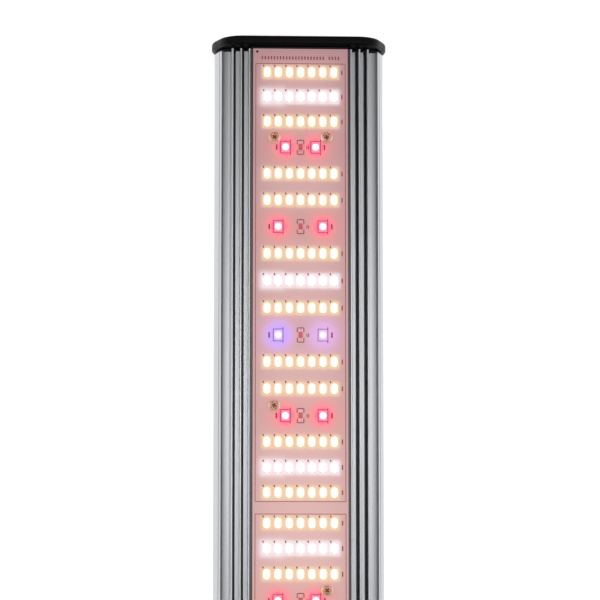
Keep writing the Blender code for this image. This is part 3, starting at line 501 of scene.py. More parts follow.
def block_tree():
    """Geometry nodes that stand one block with rounded corners and a drawn-in top on each point."""
    tree = bpy.data.node_groups.new("blocks_on_points", "GeometryNodeTree")
    tree.interface.new_socket("Points", in_out="INPUT", socket_type="NodeSocketGeometry")
    for label in ("Along", "Across", "Height", "Corner", "Crown"):
        tree.interface.new_socket(label, in_out="INPUT", socket_type="NodeSocketFloat")
    tree.interface.new_socket("Finish", in_out="INPUT", socket_type="NodeSocketMaterial")
    tree.interface.new_socket("Blocks", in_out="OUTPUT", socket_type="NodeSocketGeometry")
    given = wired(tree, "NodeGroupInput").outputs
    sides = {"Width": given["Along"], "Height": given["Across"]}
    outline = wired(tree, "GeometryNodeCurvePrimitiveQuadrilateral", sides).outputs[0]
    inputs = {"Curve": outline, "Radius": given["Corner"], "Count": 3}
    outline = wired(tree, "GeometryNodeFilletCurve", inputs, mode="POLY").outputs[0]
    base = wired(tree, "GeometryNodeFillCurve", {"Curve": outline}, mode="NGONS").outputs[0]
    wall_height = worked(tree, "MULTIPLY", given["Height"], 0.8)
    top_height = worked(tree, "MULTIPLY", given["Height"], 0.2)
    rise = {"Mesh": base, "Offset Scale": wall_height, "Individual": False}
    walls = wired(tree, "GeometryNodeExtrudeMesh", rise, mode="FACES").outputs
    rise = {"Mesh": walls["Mesh"], "Selection": walls["Top"], "Individual": False}
    crown = wired(tree, "GeometryNodeExtrudeMesh", rise, mode="FACES")
    tree.links.new(top_height, crown.inputs["Offset Scale"])
    crown = crown.outputs
    drawn = {"Geometry": crown["Mesh"], "Selection": crown["Top"], "Scale": given["Crown"]}
    solid = wired(tree, "GeometryNodeScaleElements", drawn, domain="FACE").outputs[0]
    under = wired(tree, "GeometryNodeFlipFaces", {"Mesh": base}).outputs[0]
    joined = wired(tree, "GeometryNodeJoinGeometry")
    tree.links.new(solid, joined.inputs[0])
    tree.links.new(under, joined.inputs[0])
    merge = {"Geometry": joined.outputs[0], "Distance": 0.001 * MM}
    block = wired(tree, "GeometryNodeMergeByDistance", merge).outputs[0]
    stand = {"Points": given["Points"], "Instance": block}
    stood = wired(tree, "GeometryNodeInstanceOnPoints", stand).outputs[0]
    real = wired(tree, "GeometryNodeRealizeInstances", {"Geometry": stood}).outputs[0]
    dressed = wired(tree, "GeometryNodeSetMaterial", {"Geometry": real, "Material": given["Finish"]})
    wired(tree, "NodeGroupOutput", {"Blocks": dressed.outputs[0]})
    return tree


def run_tree(name, tree, points, values, turns=None):
    """The plain mesh that a tree makes on these points."""
    mesh = bpy.data.meshes.new(name)
    mesh.from_pydata(points, [], [])
    if turns is not None:
        mesh.attributes.new("turn", "FLOAT", "POINT").data.foreach_set("value", turns)
    carrier = loose(name, mesh)
    modifier = carrier.modifiers.new(name, "NODES")
    modifier.node_group = tree
    for item in tree.interface.items_tree:
        if item.item_type == "SOCKET" and item.in_out == "INPUT" and item.name in values:
            modifier[item.identifier] = values[item.name]
    return face_outwards(plain_mesh(carrier))


blocks_on_points = block_tree()


def blocks(name, places, base, size, finish, corner=0.3 * MM, crown=0.94):
    """A block of (along, across, height) at each (x, y), from the base height up."""
    values = dict(zip(("Along", "Across", "Height"), size))
    values |= {"Corner": corner, "Crown": crown, "Finish": finish}
    return run_tree(name, blocks_on_points, [(x, y, base) for x, y in places], values)


def lamp_finish(name, colour, strength, roughness=0.35):
    """A lit surface, with the fine unevenness of phosphor in clear silicone."""
    material, tree, shader = new_finish(name, colour, roughness)
    shader.inputs["Emission Color"].default_value = colour
    shader.inputs["Emission Strength"].default_value = strength
    cloud = grain(tree, (1800.0,) * 3, 2.0)
    shade = mixed(tree, spread(tree, cloud, 0.0, 0.12), colour, (1.0, 1.0, 1.0, 1.0))
    tree.links.new(shade, shader.inputs["Emission Color"])
    return material


PACKAGE_HEIGHT = 0.52 * MM
PACKAGE_FOOT = board_top - 0.02 * MM
PACKAGE = (LED_ALONG, LED_ACROSS, PACKAGE_HEIGHT)
PACKAGE_CORNER = 0.9 * MM
PAD = (4.1 * MM, 2.5 * MM, 0.1 * MM)
PAD_CORNER = 0.7 * MM
WINDOW = (3.7 * MM, 2.2 * MM, 0.24 * MM)
WINDOW_FOOT = PACKAGE_FOOT + PACKAGE_HEIGHT - 0.05 * MM
WINDOW_CORNER = 1.0 * MM

# The tinned pads are no lamps: their glow is painted light from the LEDs on them.
pad_painted_glow = lamp_finish("tinned_pads_lit", tone(212, 190, 154), 0.5)
warm_wall = lamp_finish("warm_package_wall", tone(230, 212, 172), 0.6)
warm_glow = lamp_finish("warm_phosphor_lit", tone(255, 249, 230), 0.85)
cool_wall = lamp_finish("cool_package_wall", tone(232, 226, 230), 0.6)
cool_glow = lamp_finish("cool_phosphor_lit", tone(252, 253, 255), 1.0)

pads = blocks("pads", warm_leds + cool_leds, PACKAGE_FOOT, PAD, pad_painted_glow, PAD_CORNER)
add_piece("led_pads", pads, None, replaced=["led_board_1", "led_board_2"])
for kind, places, wall, glow in (
    ("warm", warm_leds, warm_wall, warm_glow),
    ("cool", cool_leds, cool_wall, cool_glow),
):
    walls = blocks(f"{kind}_walls", places, PACKAGE_FOOT, PACKAGE, wall, PACKAGE_CORNER)
    add_piece(f"{kind}_led_packages", walls, None)
    windows = blocks(f"{kind}_windows", places, WINDOW_FOOT, WINDOW, glow, WINDOW_CORNER, 0.9)
    add_piece(f"{kind}_led_windows", windows, None)


# ---------------------------------------------------------------------------------------------
# Coloured LEDs: a pair of deep red or violet lamps between the white rows, on ceramic packages
# with a clear silicone dome over the chip. The domes of the red ones burn out to white.


def repeat_tree():
    """Geometry nodes that set one ready piece on each point, turned by the point's own angle."""
    tree = bpy.data.node_groups.new("piece_on_points", "GeometryNodeTree")
    tree.interface.new_socket("Points", in_out="INPUT", socket_type="NodeSocketGeometry")
    tree.interface.new_socket("Piece", in_out="INPUT", socket_type="NodeSocketObject")
    tree.interface.new_socket("Tilt", in_out="INPUT", socket_type="NodeSocketVector")
    tree.interface.new_socket("Finish", in_out="INPUT", socket_type="NodeSocketMaterial")
    tree.interface.new_socket("Pieces", in_out="OUTPUT", socket_type="NodeSocketGeometry")
    given = wired(tree, "NodeGroupInput").outputs
    piece = wired(tree, "GeometryNodeObjectInfo", {"Object": given["Piece"]}).outputs["Geometry"]
    turn = wired(tree, "GeometryNodeInputNamedAttribute", {"Name": "turn"}, data_type="FLOAT")
    about = wired(tree, "ShaderNodeCombineXYZ", {"Z": turn.outputs[0]}).outputs[0]
    own = wired(tree, "FunctionNodeEulerToRotation", {0: about}).outputs[0]
    tilt = wired(tree, "FunctionNodeEulerToRotation", {0: given["Tilt"]}).outputs[0]
    both = {0: own, 1: tilt}
    facing = wired(tree, "FunctionNodeRotateRotation", both, rotation_space="GLOBAL").outputs[0]
    stand = {"Points": given["Points"], "Instance": piece, "Rotation": facing}
    stood = wired(tree, "GeometryNodeInstanceOnPoints", stand).outputs[0]
    real = wired(tree, "GeometryNodeRealizeInstances", {"Geometry": stood}).outputs[0]
    dressed = wired(tree, "GeometryNodeSetMaterial", {"Geometry": real, "Material": given["Finish"]})
    wired(tree, "NodeGroupOutput", {"Pieces": dressed.outputs[0]})
    return tree


def turned(name, profile, steps=24):
    """A closed form turned about Z from (radius, height) points whose ends lie on the axis."""
    edit = bmesh.new()
    points = [edit.verts.new((radius, 0.0, height)) for radius, height in profile]
    edges = [edit.edges.new(pair) for pair in zip(points, points[1:])]
    bmesh.ops.spin(
        edit, geom=points + edges, cent=(0, 0, 0), axis=(0, 0, 1), angle=2 * math.pi, steps=steps
    )
    bmesh.ops.remove_doubles(edit, verts=edit.verts, dist=0.0005 * MM)
    bmesh.ops.recalc_face_normals(edit, faces=edit.faces)
    return smoothed(kept(name, edit), 35.0)


piece_on_points = repeat_tree()


def repeated(name, mesh, points, turns, finish, tilt=(0.0, 0.0, 0.0)):
    """One mesh set on each point, each turned a little its own way, then tilted as one."""
    pattern = loose(f"{name}_pattern", mesh)
    values = {"Piece": pattern, "Tilt": tilt, "Finish": finish}
    made = run_tree(name, piece_on_points, points, values, turns)
    bpy.data.objects.remove(pattern, do_unlink=True)
    return made


DOME_RADIUS = 1.25 * MM
DOME_RISE = 0.2 * MM
dome_profile = [(0.0, DOME_RISE)]
for step in range(1, 7):
    angle = math.radians(15.0 * step)
    dome_profile.append((DOME_RADIUS * math.sin(angle), DOME_RISE * math.cos(angle)))
dome_profile += [(DOME_RADIUS, -0.1 * MM), (0.0, -0.1 * MM)]

red_wall = lamp_finish("red_package_wall", tone(252, 140, 176), 0.6)
red_glow = lamp_finish("red_dome_lit", tone(255, 240, 246), 0.95)
violet_wall = lamp_finish("violet_package_wall", tone(212, 188, 248), 0.6)
violet_glow = lamp_finish("violet_dome_lit", tone(240, 226, 255), 0.8)
for kind, places, wall, glow in (
    ("red", red_leds, red_wall, red_glow),
    ("violet", violet_leds, violet_wall, violet_glow),
):
    walls = blocks(f"{kind}_walls", places, PACKAGE_FOOT, PACKAGE, wall)
    add_piece(f"{kind}_led_packages", walls, None)
    dome_foot = PACKAGE_FOOT + PACKAGE_HEIGHT
    points = [(x, y, dome_foot) for x, y in places]
    dome = turned("dome", dome_profile)
    domes = repeated(f"{kind}_domes", dome, points, [0.0] * len(points), glow)
    add_piece(f"{kind}_led_domes", domes, None)


# ---------------------------------------------------------------------------------------------
# Chip resistors: one between each pair of coloured LEDs, a dark ceramic chip with a tinned cap at
# each end, soldered flat on the board. The red light of the lamps beside it is painted on the chip, as a
# red colour and glow.

CHIP = (2.4 * MM, 1.5 * MM, 0.52 * MM)
CHIP_CAP = (0.5 * MM, 1.6 * MM, 0.55 * MM)
CHIP_CAP_PLACE = 1.35 * MM
CHIP_CORNER = 0.1 * MM

# Painted light: the chip's red colour and its glow stand for the red lamps beside it.
chip_body, tree, shader = new_finish("resistor_overcoat", tone(196, 84, 90), 0.3)
shader.inputs["Emission Color"].default_value = tone(196, 84, 90)
shader.inputs["Emission Strength"].default_value = 0.5
bumped(tree, shader, grain(tree, (2200.0,) * 3), 0.2, 0.02 * MM)
chip_cap, tree, shader = new_finish("tinned_cap", tone(238, 196, 186), 0.35, 0.6)
bumped(tree, shader, grain(tree, (1800.0,) * 3), 0.3, 0.02 * MM)
resistors = [(middle + row, 0.0) for middle in segment_middles for row in (*RED_ROWS, VIOLET_ROW)]
chips = blocks("chips", resistors, PACKAGE_FOOT, CHIP, chip_body, CHIP_CORNER)
add_piece("resistor_chips", chips, None)
ends = [(x + side * CHIP_CAP_PLACE, y) for x, y in resistors for side in (1, -1)]
caps = blocks("caps", ends, PACKAGE_FOOT, CHIP_CAP, chip_cap, CHIP_CORNER)
add_piece("resistor_caps", caps, None)


# ---------------------------------------------------------------------------------------------
# Board printing: a thin frame round each segment, a dot at each LED's corner, outlines round the
# coloured LEDs and the resistors, and short plain strokes, printed in dark ink on the mask.

INK_HEIGHT = 0.03 * MM
INK_FOOT = board_top - 0.4 * INK_HEIGHT
SEGMENT_FRAME = (157.6 * MM, 32.2 * MM, 0.24 * MM)
ROW_MARK = (-14.9 * MM, 1.7 * MM, 0.45 * MM)
LAMP_FRAME = (4.25 * MM, 3.5 * MM, 0.26 * MM)
LAMP_TICK = (2.5 * MM, -1.75 * MM, 0.7 * MM, 0.3 * MM)
LAMP_MARK = (3.2 * MM, 1.9 * MM, 0.6 * MM)
CHIP_END = (2.55 * MM, 0.36 * MM, 2.1 * MM)
CHIP_SIDE = (1.8 * MM, 1.2 * MM, 1.5 * MM, 0.34 * MM)
CHIP_MARK = (1.3 * MM, 0.3 * MM)
HEADING_INSET = 3.35 * MM
HEADING_START = 13.8 * MM
HEADING_STEP = 1.1 * MM
HEADING_BAR = (1.2 * MM, 0.55 * MM)
HEADING_GAP = 21
CORNER_DOT = (0.75 * MM, 0.5 * MM)
CORNER_SPOT = (0.9 * MM, 0.9 * MM)

ink, tree, shader = new_finish("printed_ink", tone(118, 52, 54), 0.6)
worn = spread(tree, grain(tree, (900.0,) * 3), 0.0, 1.0)
shade = mixed(tree, worn, tone(152, 72, 80), tone(128, 56, 64))
# The ink glows with its colour: painted light from the lamps round it.
painted_glow(tree, shader, shade, 0.6)


def strokes(name, bars):
    """Printed strokes, each from its middle and its length along and across the board."""
    edit = bmesh.new()
    for x, y, along, across in bars:
        size = Matrix.Diagonal((along, across, 1.4 * INK_HEIGHT, 1.0))
        place = Matrix.Translation((x, y, board_top + 0.3 * INK_HEIGHT))
        bmesh.ops.create_cube(edit, size=1.0, matrix=place @ size)
    return kept(name, edit)


def outline(x, y, along, across, line):
    """The four bars of a rectangle, in the printed line's width."""
    return [
        (x + along / 2, y, line, across + line),
        (x - along / 2, y, line, across + line),
        (x, y + across / 2, along - line, line),
        (x, y - across / 2, along - line, line),
    ]


bars = []
for middle in segment_middles:
    bars += outline(middle, 0.0, *SEGMENT_FRAME)
    bars += [(middle + row, *ROW_MARK) for row in (*WARM_ROWS, *COOL_ROWS)]
for x, y in red_leds + violet_leds:
    bars += outline(x, y, *LAMP_FRAME)
    along, across, *tick = LAMP_TICK
    bars += [(x + side * along, y + across, *tick) for side in (1, -1)]
    aside, *mark = LAMP_MARK
    bars.append((x, y + math.copysign(aside, y), *mark))
for x, y in resistors:
    for side in (1, -1):
        along, *end_line = CHIP_END
        bars.append((x + side * along, y, *end_line))
        along, across, *side_line = CHIP_SIDE
        bars += [(x + side * along, y + turn * across, *side_line) for turn in (1, -1)]
    bars += [(x - 0.1 * MM, y - across, *CHIP_MARK) for across in (2.3 * MM, 2.9 * MM)]
for middle in board_middles:
    head = middle + board_length / 2 - HEADING_INSET
    steps = [step for step in range(26) if step != HEADING_GAP]
    bars += [(head, HEADING_START - step * HEADING_STEP, *HEADING_BAR) for step in steps]
add_piece("board_printing", strokes("printing", bars), ink)
dots = [(x + 2.35 * MM, y + 1.3 * MM) for x, y in warm_leds + cool_leds]
size = (*CORNER_DOT, 1.4 * INK_HEIGHT)
marks = blocks("dots", dots, INK_FOOT, size, ink, 0.15 * MM, 0.98)
add_piece("led_corner_dots", marks, None)

# A dark spot near one corner of each board is painted shade, standing for a drilled hole that is not cut.
hole_painted_shade, tree, shader = new_finish("drilled_hole", tone(60, 18, 24), 0.7)
bumped(tree, shader, grain(tree, (1500.0,) * 3), 0.3, 0.03 * MM)
spots = [(middle + board_length / 2 - 1.1 * MM, 15.6 * MM) for middle in board_middles]
size = (*CORNER_SPOT, 1.4 * INK_HEIGHT)
marks = blocks("corner_spots", spots, INK_FOOT, size, hole_painted_shade, 0.42 * MM, 0.98)
add_piece("board_corner_spots", marks, None)


# ---------------------------------------------------------------------------------------------
# Board screws: pan-head screws with a cross recess, yellow zinc plated, driven through each board
# into the housing. No two stop at the same turn.


def cross_screw(name, radius, length, head_radius, head_height, cross):
    """A pan-head screw, the underside of its head at z = 0, with a cross recess of that span."""
    profile = [(0.0, head_height)]
    for step in range(1, 6):
        angle = math.radians(18.0 * step)
        lift = head_height * (0.55 + 0.45 * math.cos(angle))
        profile.append((head_radius * math.sin(angle) ** 0.8, lift))
    profile += [(head_radius, 0.0), (radius, 0.0), (radius, -length), (0.0, -length)]
    blank = turned(name, profile, 32)
    arm, web = cross / 2, 0.16 * cross
    corners = [(arm, -web), (arm, web), (web, web), (web, arm), (-web, arm), (-web, web)]
    corners += [(-x, -y) for x, y in corners]
    edit = bmesh.new()
    rings = []
    for scale, height in ((1.1, head_height * 1.2), (0.5, head_height * 0.25)):
        rings.append([edit.verts.new((x * scale, y * scale, height)) for x, y in corners])
    for index in range(len(corners)):
        after = (index + 1) % len(corners)
        edit.faces.new((rings[0][index], rings[0][after], rings[1][after], rings[1][index]))
    edit.faces.new(rings[0])
    edit.faces.new(rings[1])
    bmesh.ops.recalc_face_normals(edit, faces=edit.faces)
    return smoothed(cut(name, blank, kept(f"{name}_recess", edit)), 32.0)


yellow_zinc = satin_metal(
    "yellow_zinc_plate",
    dark=tone(204, 160, 140),
    light=tone(240, 204, 184),
    roughness=(0.24, 0.36),
    lines=900.0,
    speck=1600.0,
    bump=0.2,
)
# Painted light on the screw heads: the crown is painted a dull brown and the rim left bright, a painted
# highlight; the cross recess is painted dark, a painted shade; and the heads glow, as painted light from
# the lamps round them.
tree = yellow_zinc.node_tree
shader = tree.nodes["Principled BSDF"]
height = object_place(tree)[2]
crown = spread(tree, height, 0.0, 1.0, board_top + 1.0 * MM, board_top + 1.12 * MM)
recess = spread(tree, height, 1.0, 0.0, board_top + 0.5 * MM, board_top + 0.66 * MM)
rim_painted_highlight = shader.inputs["Base Color"].links[0].from_socket
shade = mixed(tree, crown, rim_painted_highlight, tone(178, 118, 98))
shade = mixed(tree, recess, shade, tone(92, 50, 42))
painted_glow(tree, shader, shade, 0.5)
shader.inputs["Metallic"].default_value = 0.7
screw = cross_screw(
    "board_screw",
    radius=1.15 * MM,
    length=4.3 * MM,
    head_radius=2.2 * MM,
    head_height=1.15 * MM,
    cross=2.9 * MM,
)
points = [(x, y, board_top + 0.06 * MM) for x, y in board_screws]
turns = [0.35 + 1.1 * index for index in range(len(points))]
screws = repeated("board_screws", screw, points, turns, yellow_zinc)
names = [f"board_screw_{number:02d}" for number in range(1, 13)]
add_piece("board_screws", screws, None, replaced=names)


# ---------------------------------------------------------------------------------------------
# End caps: moulded black plastic with a fine satin skin, one outline a little larger than the
# housing's. Each seats on a rubber gasket, and four screws hold it to the housing.

CAP_THICKNESS = 3.4 * MM
CAP_FRONT_CORNER = 9.0 * MM
CAP_BACK_CORNER = 6.0 * MM
CAP_WAIST = 15.0 * MM
CAP_SLOPE = math.radians(21.0)
CAP_RIM = 1.0 * MM
CAP_HOLE_RADIUS = 1.55 * MM
CAP_RECESS_RADIUS = 2.85 * MM
CAP_RECESS_DEPTH = 1.8 * MM
CAP_SCREW_SUNK = 1.5 * MM
INLET_LIP = 1.5 * MM
INLET_ROOM = 0.3 * MM
INLET_POCKET_DEPTH = 1.72 * MM
INLET_CORNER = 4.8 * MM
ENDS = (("far", 1), ("inlet", -1))


def rounded(corners, steps=14):
    """The outline through corners of (y, z, radius), each rounded by an arc."""
    outline = []
    for index, (y, z, radius) in enumerate(corners):
        corner = Vector((y, z))
        back = (Vector(corners[index - 1][:2]) - corner).normalized()
        ahead = (Vector(corners[(index + 1) % len(corners)][:2]) - corner).normalized()
        half = back.angle(ahead) / 2
        centre = corner + (back + ahead).normalized() * radius / math.sin(half)
        first = corner + back * radius / math.tan(half) - centre
        turn = first.angle_signed(corner + ahead * radius / math.tan(half) - centre)
        turns = [Matrix.Rotation(-turn * step / steps, 2) for step in range(steps + 1)]
        outline += [centre + turned_by @ first for turned_by in turns]
    return outline


def slab(edit, outline, start, end):
    """Adds a plate whose outline lies in Y and Z, from start to end along X."""
    lower = edit.faces.new([edit.verts.new((start, y, z)) for y, z in outline])
    drawn = bmesh.ops.extrude_face_region(edit, geom=[lower], use_keep_orig=True)["geom"]
    moved = [item for item in drawn if isinstance(item, bmesh.types.BMVert)]
    bmesh.ops.translate(edit, verts=moved, vec=(end - start, 0.0, 0.0))
    bmesh.ops.recalc_face_normals(edit, faces=edit.faces)


def cap_blank(name, inner, outer, half_width, depth):
    """The cap's barrel shape: straight back and front, sides that slope out to a rounded waist."""
    apex = half_width + CAP_WAIST * (1 / math.cos(CAP_SLOPE) - 1)
    side = apex - depth / 2 * math.tan(CAP_SLOPE)
    back, waist = (side, 0.0, CAP_BACK_CORNER), (apex, depth / 2, CAP_WAIST)
    right = [back, waist, (side, depth, CAP_FRONT_CORNER)]
    left = [(-y, z, radius) for y, z, radius in reversed(right)]
    edit = bmesh.new()
    slab(edit, rounded(right + left), inner, outer)
    rims = [edge for edge in edit.edges if edge.calc_face_angle() > math.radians(60.0)]
    bmesh.ops.bevel(edit, geom=rims, offset=CAP_RIM, segments=5, profile=0.5, affect="EDGES")
    return kept(name, edit)


def cap_openings(name, outer, screw_places, inlet_box):
    """What is cut out of a cap, in turn: screw holes, their recesses, the inlet's opening."""
    meshes = []
    through = 2 * CAP_THICKNESS
    for radius, deep in ((CAP_HOLE_RADIUS, through), (CAP_RECESS_RADIUS, CAP_RECESS_DEPTH)):
        edit = bmesh.new()
        for y, z in screw_places:
            place = Matrix.Translation((outer, y, z)) @ Matrix.Rotation(math.pi / 2, 4, "Y")
            drill(edit, place, radius, 2 * deep, 28)
        meshes.append(kept(f"{name}_screw_holes", edit))
    if inlet_box is None:
        return meshes
    low, high = inlet_box
    for margin, deep in ((-INLET_LIP, through), (INLET_ROOM, INLET_POCKET_DEPTH)):
        y = (high.y - low.y) / 2 + margin
        bottom, top = low.z - margin, high.z + margin
        radius = INLET_CORNER + margin
        corners = [(y, bottom, radius), (y, top, radius), (-y, top, radius), (-y, bottom, radius)]
        edit = bmesh.new()
        slab(edit, rounded(corners, 6), outer - deep, outer + deep)
        meshes.append(kept(f"{name}_opening", edit))
    return meshes


cap_black, tree, shader = new_finish(
    "black_moulded_plastic", (0.0025, 0.0025, 0.003, 1.0), 0.42, **{"Specular IOR Level": 0.12}
)
skin = grain(tree, (1400.0,) * 3, 3.0)
tree.links.new(spread(tree, skin, 0.36, 0.5), shader.inputs["Roughness"])
bumped(tree, shader, skin, 0.25, 0.03 * MM)
for end_name, end in ENDS:
    name = f"{end_name}_end_cap"
    low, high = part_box(name)
    outer = high.x if end > 0 else low.x
    moulding = cap_blank(name, outer - end * CAP_THICKNESS, outer, high.y, high.z - low.z)
    screw_boxes = [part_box(f"{end_name}_cap_screw_{number}") for number in range(1, 5)]
    places = [((a.y + b.y) / 2, (a.z + b.z) / 2) for a, b in screw_boxes]
    inlet_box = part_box("power_inlet") if end < 0 else None
    for cutter in cap_openings(name, outer, places, inlet_box):
        moulding = cut(name, moulding, cutter)
    moulding = softened(moulding, 40.0)
    add_piece(f"{name}_moulding", moulding, cap_black, replaced=[name])

gasket_rubber, tree, shader = new_finish("black_sheet_rubber", (0.016, 0.016, 0.016, 1.0), 0.75)
bumped(tree, shader, grain(tree, (1100.0,) * 3, 3.0), 0.4, 0.04 * MM)
for name in ("far_end_gasket", "inlet_end_gasket"):
    sheet = smooth_copy(name, 35.0)
    add_piece(f"{name}_sheet", sheet, gasket_rubber, replaced=[name])

zinc = satin_metal(
    "bright_zinc_plate",
    dark=(0.44, 0.44, 0.46, 1.0),
    light=(0.58, 0.58, 0.60, 1.0),
    roughness=(0.28, 0.42),
    lines=1200.0,
    speck=1900.0,
    bump=0.25,
)
screw = cross_screw(
    "cap_screw",
    radius=1.35 * MM,
    length=9.8 * MM,
    head_radius=2.5 * MM,
    head_height=1.45 * MM,
    cross=3.2 * MM,
)
for end_name, end in ENDS:
    names = [f"{end_name}_cap_screw_{number}" for number in range(1, 5)]
    places = []
    for name in names:
        low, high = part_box(name)
        outer = high.x if end > 0 else low.x
        seat = outer - end * CAP_SCREW_SUNK
        places.append((seat, (low.y + high.y) / 2, (low.z + high.z) / 2))
    turns = [0.2 + 0.9 * index for index in range(4)]
    tilt = (0.0, end * math.pi / 2, 0.0)
    screws = repeated(f"{end_name}_cap_screws", screw.copy(), places, turns, zinc, tilt)
    add_piece(f"{end_name}_cap_screws", screws, None, replaced=names)


# ---------------------------------------------------------------------------------------------
# Power inlet: a socket of matt black plastic let into the cap, with three turned brass pins that
# stand in its recess and carry the leads inside.

inlet_black, tree, shader = new_finish("matt_black_plastic", (0.014, 0.014, 0.014, 1.0), 0.5)
bumped(tree, shader, grain(tree, (1700.0,) * 3, 3.0), 0.3, 0.03 * MM)
socket = smooth_copy("power_inlet", 35.0)
add_piece("inlet_socket", socket, inlet_black, replaced=["power_inlet"])

brass = satin_metal(
    "turned_brass",
    dark=(0.62, 0.47, 0.20, 1.0),
    light=(0.78, 0.62, 0.30, 1.0),
    roughness=(0.2, 0.3),
    lines=700.0,
    speck=1500.0,
    bump=0.15,
)
PIN_TIP = 0.4 * MM
for number in (1, 2, 3):
    name = f"inlet_pin_{number}"
    low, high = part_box(name)
    radius = (high.y - low.y) / 2
    length = high.x - low.x
    profile = [(0.0, length), (radius - PIN_TIP, length)]
    profile += [(radius - 0.3 * PIN_TIP, length - 0.25 * PIN_TIP), (radius, length - PIN_TIP)]
    profile += [(radius, 0.0), (0.0, 0.0)]
    pin = turned(f"pin_{number}", profile)
    middle = (high.x, (low.y + high.y) / 2, (low.z + high.z) / 2)
    pin.transform(Matrix.Translation(middle) @ Matrix.Rotation(-math.pi / 2, 4, "Y"))
    add_piece(f"{name}_turned", pin, brass, replaced=[name])


# ---------------------------------------------------------------------------------------------
# Inside the housing: grey silicone pads under the boards, and the driver, a green circuit board in
# a plastic tray, with its leads. A closed bar shows none of it but the pads' edges.


def dress(names, finish):
    for name in names:
        materials = cad_nodes[name].data.materials
        materials.clear()
        materials.append(finish)


def mottled(name, dark, light, roughness, scale):
    """A dull finish that varies a little from place to place."""
    material, tree, shader = new_finish(name, light, roughness)
    cloud = grain(tree, (scale,) * 3, 3.0)
    shade = mixed(tree, spread(tree, cloud, 0.0, 1.0), dark, light)
    tree.links.new(shade, shader.inputs["Base Color"])
    bumped(tree, shader, cloud, 0.25, 0.04 * MM)
    return material


silicone = mottled("grey_silicone", (0.20, 0.21, 0.23, 1.0), (0.28, 0.29, 0.31, 1.0), 0.75, 900.0)
tray = mottled("tray_plastic", (0.66, 0.66, 0.63, 1.0), (0.74, 0.74, 0.71, 1.0), 0.5, 600.0)
circuit = mottled("green_circuit", (0.02, 0.12, 0.05, 1.0), (0.04, 0.18, 0.08, 1.0), 0.4, 500.0)
sheath = mottled("lead_insulation", (0.50, 0.04, 0.03, 1.0), (0.62, 0.06, 0.05, 1.0), 0.45, 800.0)
dress(["thermal_pad_1", "thermal_pad_2"], silicone)
dress(["driver_tray"], tray)
dress(["driver_circuit"], circuit)
dress([f"inlet_lead_{number}" for number in (1, 2, 3)], sheath)
dress(["board_lead_1", "board_lead_2"], sheath)


# ---------------------------------------------------------------------------------------------
# Hangers: a zinc-plated steel frame that slides in the slot along the back, and a bail of round
# spring wire whose turned-out ends pivot in the frame. Folded, the bail lies inside the frame.

WIRE_RADIUS = 0.95 * MM
BAIL_HALF_WIDTH = 5.35 * MM
BAIL_BEND = 1.15 * MM
BAIL_END = 9.0 * MM
BAIL_REACH = 21.75 * MM


def bail_wire(name, pivot, direction):
    """The bail's wire along its bent path, from one end in the frame round to the other."""
    side = BAIL_HALF_WIDTH
    half = [(0.0, BAIL_END), (0.0, side + BAIL_BEND)]
    for step in range(1, 7):
        angle = math.radians(15.0 * step)
        across = side + BAIL_BEND * (1 - math.sin(angle))
        half.append((BAIL_BEND * (1 - math.cos(angle)), across))
    for step in range(0, 13):
        angle = math.radians(7.5 * step)
        half.append((BAIL_REACH - side + side * math.sin(angle), side * math.cos(angle)))
    path = half + [(x, -y) for x, y in reversed(half[:-1])]
    curve = bpy.data.curves.new(name, "CURVE")
    curve.dimensions = "3D"
    curve.bevel_depth = WIRE_RADIUS
    curve.bevel_resolution = 6
    curve.use_fill_caps = True
    spline = curve.splines.new("POLY")
    spline.points.add(len(path) - 1)
    for point, (x, y) in zip(spline.points, path):
        point.co = (pivot.x + direction * x, pivot.y + direction * y, pivot.z, 1.0)
    mesh = points_joined(plain_mesh(loose(name, curve)), 0.0005 * MM)
    return smoothed(face_outwards(mesh), 50.0)


spring_wire = satin_metal(
    "bright_spring_wire",
    dark=(0.56, 0.56, 0.57, 1.0),
    light=(0.72, 0.72, 0.73, 1.0),
    roughness=(0.18, 0.28),
    lines=2200.0,
    speck=1500.0,
    bump=0.12,
)
for end_name, end in ENDS:
    frame_name, bail_name = f"{end_name}_hanger_frame", f"{end_name}_hanger_bail"
    plate = smooth_copy(frame_name, 35.0)
    add_piece(f"{end_name}_frame_plate", plate, zinc, f"{end_name}_hanger", [frame_name])
    low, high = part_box(bail_name)
    inner = low.x if end > 0 else high.x
    pivot = Vector((inner + end * WIRE_RADIUS, 0.0, (low.z + high.z) / 2))
    wire = bail_wire(f"{end_name}_wire", pivot, end)
    add_piece(f"{end_name}_bail_wire", wire, spring_wire, f"{end_name}_bail", [bail_name])


# ---------------------------------------------------------------------------------------------
# Studio: a white table, soft lamps over it, and the photograph's view, from above the lit face and
# a little towards the middle of the bar.

TABLE_DROP = 0.4 * MM
TABLE_SIZE = 8.0
TABLE_GLOW = 0.72
SKY_LIGHT = 0.13

table_mesh = bpy.data.meshes.new("table")
half = TABLE_SIZE / 2
corners = [(-half, -half), (half, -half), (half, half), (-half, half)]
table_mesh.from_pydata([(x, y, -TABLE_DROP) for x, y in corners], [], [(0, 1, 2, 3)])
table = bpy.data.objects.new("table", table_mesh)
bpy.context.scene.collection.objects.link(table)
white, tree, shader = new_finish("white_table", (0.86, 0.86, 0.86, 1.0), 0.9)
shader.inputs["Emission Color"].default_value = (1.0, 1.0, 1.0, 1.0)
ray = wired(tree, "ShaderNodeLightPath").outputs
seen = worked(tree, "MAXIMUM", ray["Is Camera Ray"], ray["Is Glossy Ray"])
seen = worked(tree, "MAXIMUM", seen, ray["Is Transmission Ray"])
tree.links.new(worked(tree, "MULTIPLY", seen, TABLE_GLOW), shader.inputs["Emission Strength"])
table_mesh.materials.append(white)

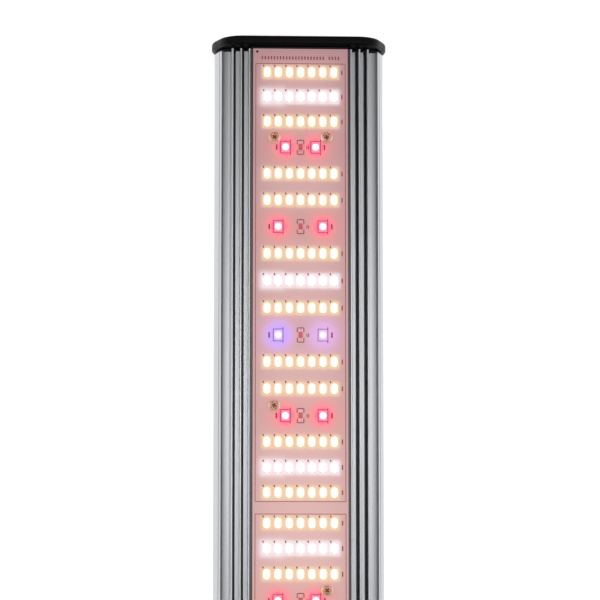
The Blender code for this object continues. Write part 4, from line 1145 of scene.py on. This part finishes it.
world = bpy.data.worlds.new("studio")
bpy.context.scene.world = world
world.use_nodes = True
sky = world.node_tree
ray = wired(sky, "ShaderNodeLightPath").outputs
brightness = {"Value": ray["Is Camera Ray"], "To Min": SKY_LIGHT, "To Max": 1.0}
level = wired(sky, "ShaderNodeMapRange", brightness).outputs[0]
sky.links.new(level, sky.nodes["Background"].inputs["Strength"])
sky.nodes["Background"].inputs["Color"].default_value = (1.0, 1.0, 1.0, 1.0)


def lamp(name, place, aim, size, power):
    """A soft lamp of (width, length), with its length along the bar, aimed at a point."""
    light = bpy.data.lights.new(name, "AREA")
    light.shape = "RECTANGLE"
    light.size, light.size_y = size
    light.energy = power
    stand = bpy.data.objects.new(name, light)
    away = (Vector(place) - Vector(aim)).normalized()
    along = (Vector((1.0, 0.0, 0.0)) - away * away.x).normalized()
    stand.matrix_world = Matrix.Translation(place) @ Matrix(
        (along.cross(away), along, away)
    ).transposed().to_4x4()
    bpy.context.scene.collection.objects.link(stand)
    return stand


lamp("overhead", (0.29, 0.0, 1.2), (0.27, 0.0, 0.0), (1.2, 0.22), 2.6)
lamp("left", (0.2, 1.3, 1.1), (0.2, 0.0, 0.0), (1.0, 1.6), 4.0)
lamp("right", (0.2, -1.3, 1.1), (0.2, 0.0, 0.0), (1.0, 1.6), 4.0)

DISTANCE = 1.0
SENSOR = 36.0
VIEW_ANGLE = math.radians(12.225)
target = Vector((0.2396, 0.0002, 0.031))
lean = Vector((-math.sin(math.radians(6.6)), math.sin(math.radians(2.6)), 0.0))
lean.z = math.sqrt(1.0 - lean.length_squared)
camera_data = bpy.data.cameras.new("camera")
camera_data.sensor_width = SENSOR
camera_data.lens = SENSOR / 2 / math.tan(VIEW_ANGLE / 2)
camera_data.clip_start = 0.01
camera = bpy.data.objects.new("camera", camera_data)
up = (Vector((1.0, 0.0, 0.0)) - lean * lean.x).normalized()
camera.matrix_world = Matrix.Translation(target + lean * DISTANCE) @ Matrix(
    (up.cross(lean), up, lean)
).transposed().to_4x4()
bpy.context.scene.collection.objects.link(camera)
bpy.context.scene.camera = camera
bpy.context.scene.view_settings.view_transform = "Standard"

bpy.context.view_layer.update()
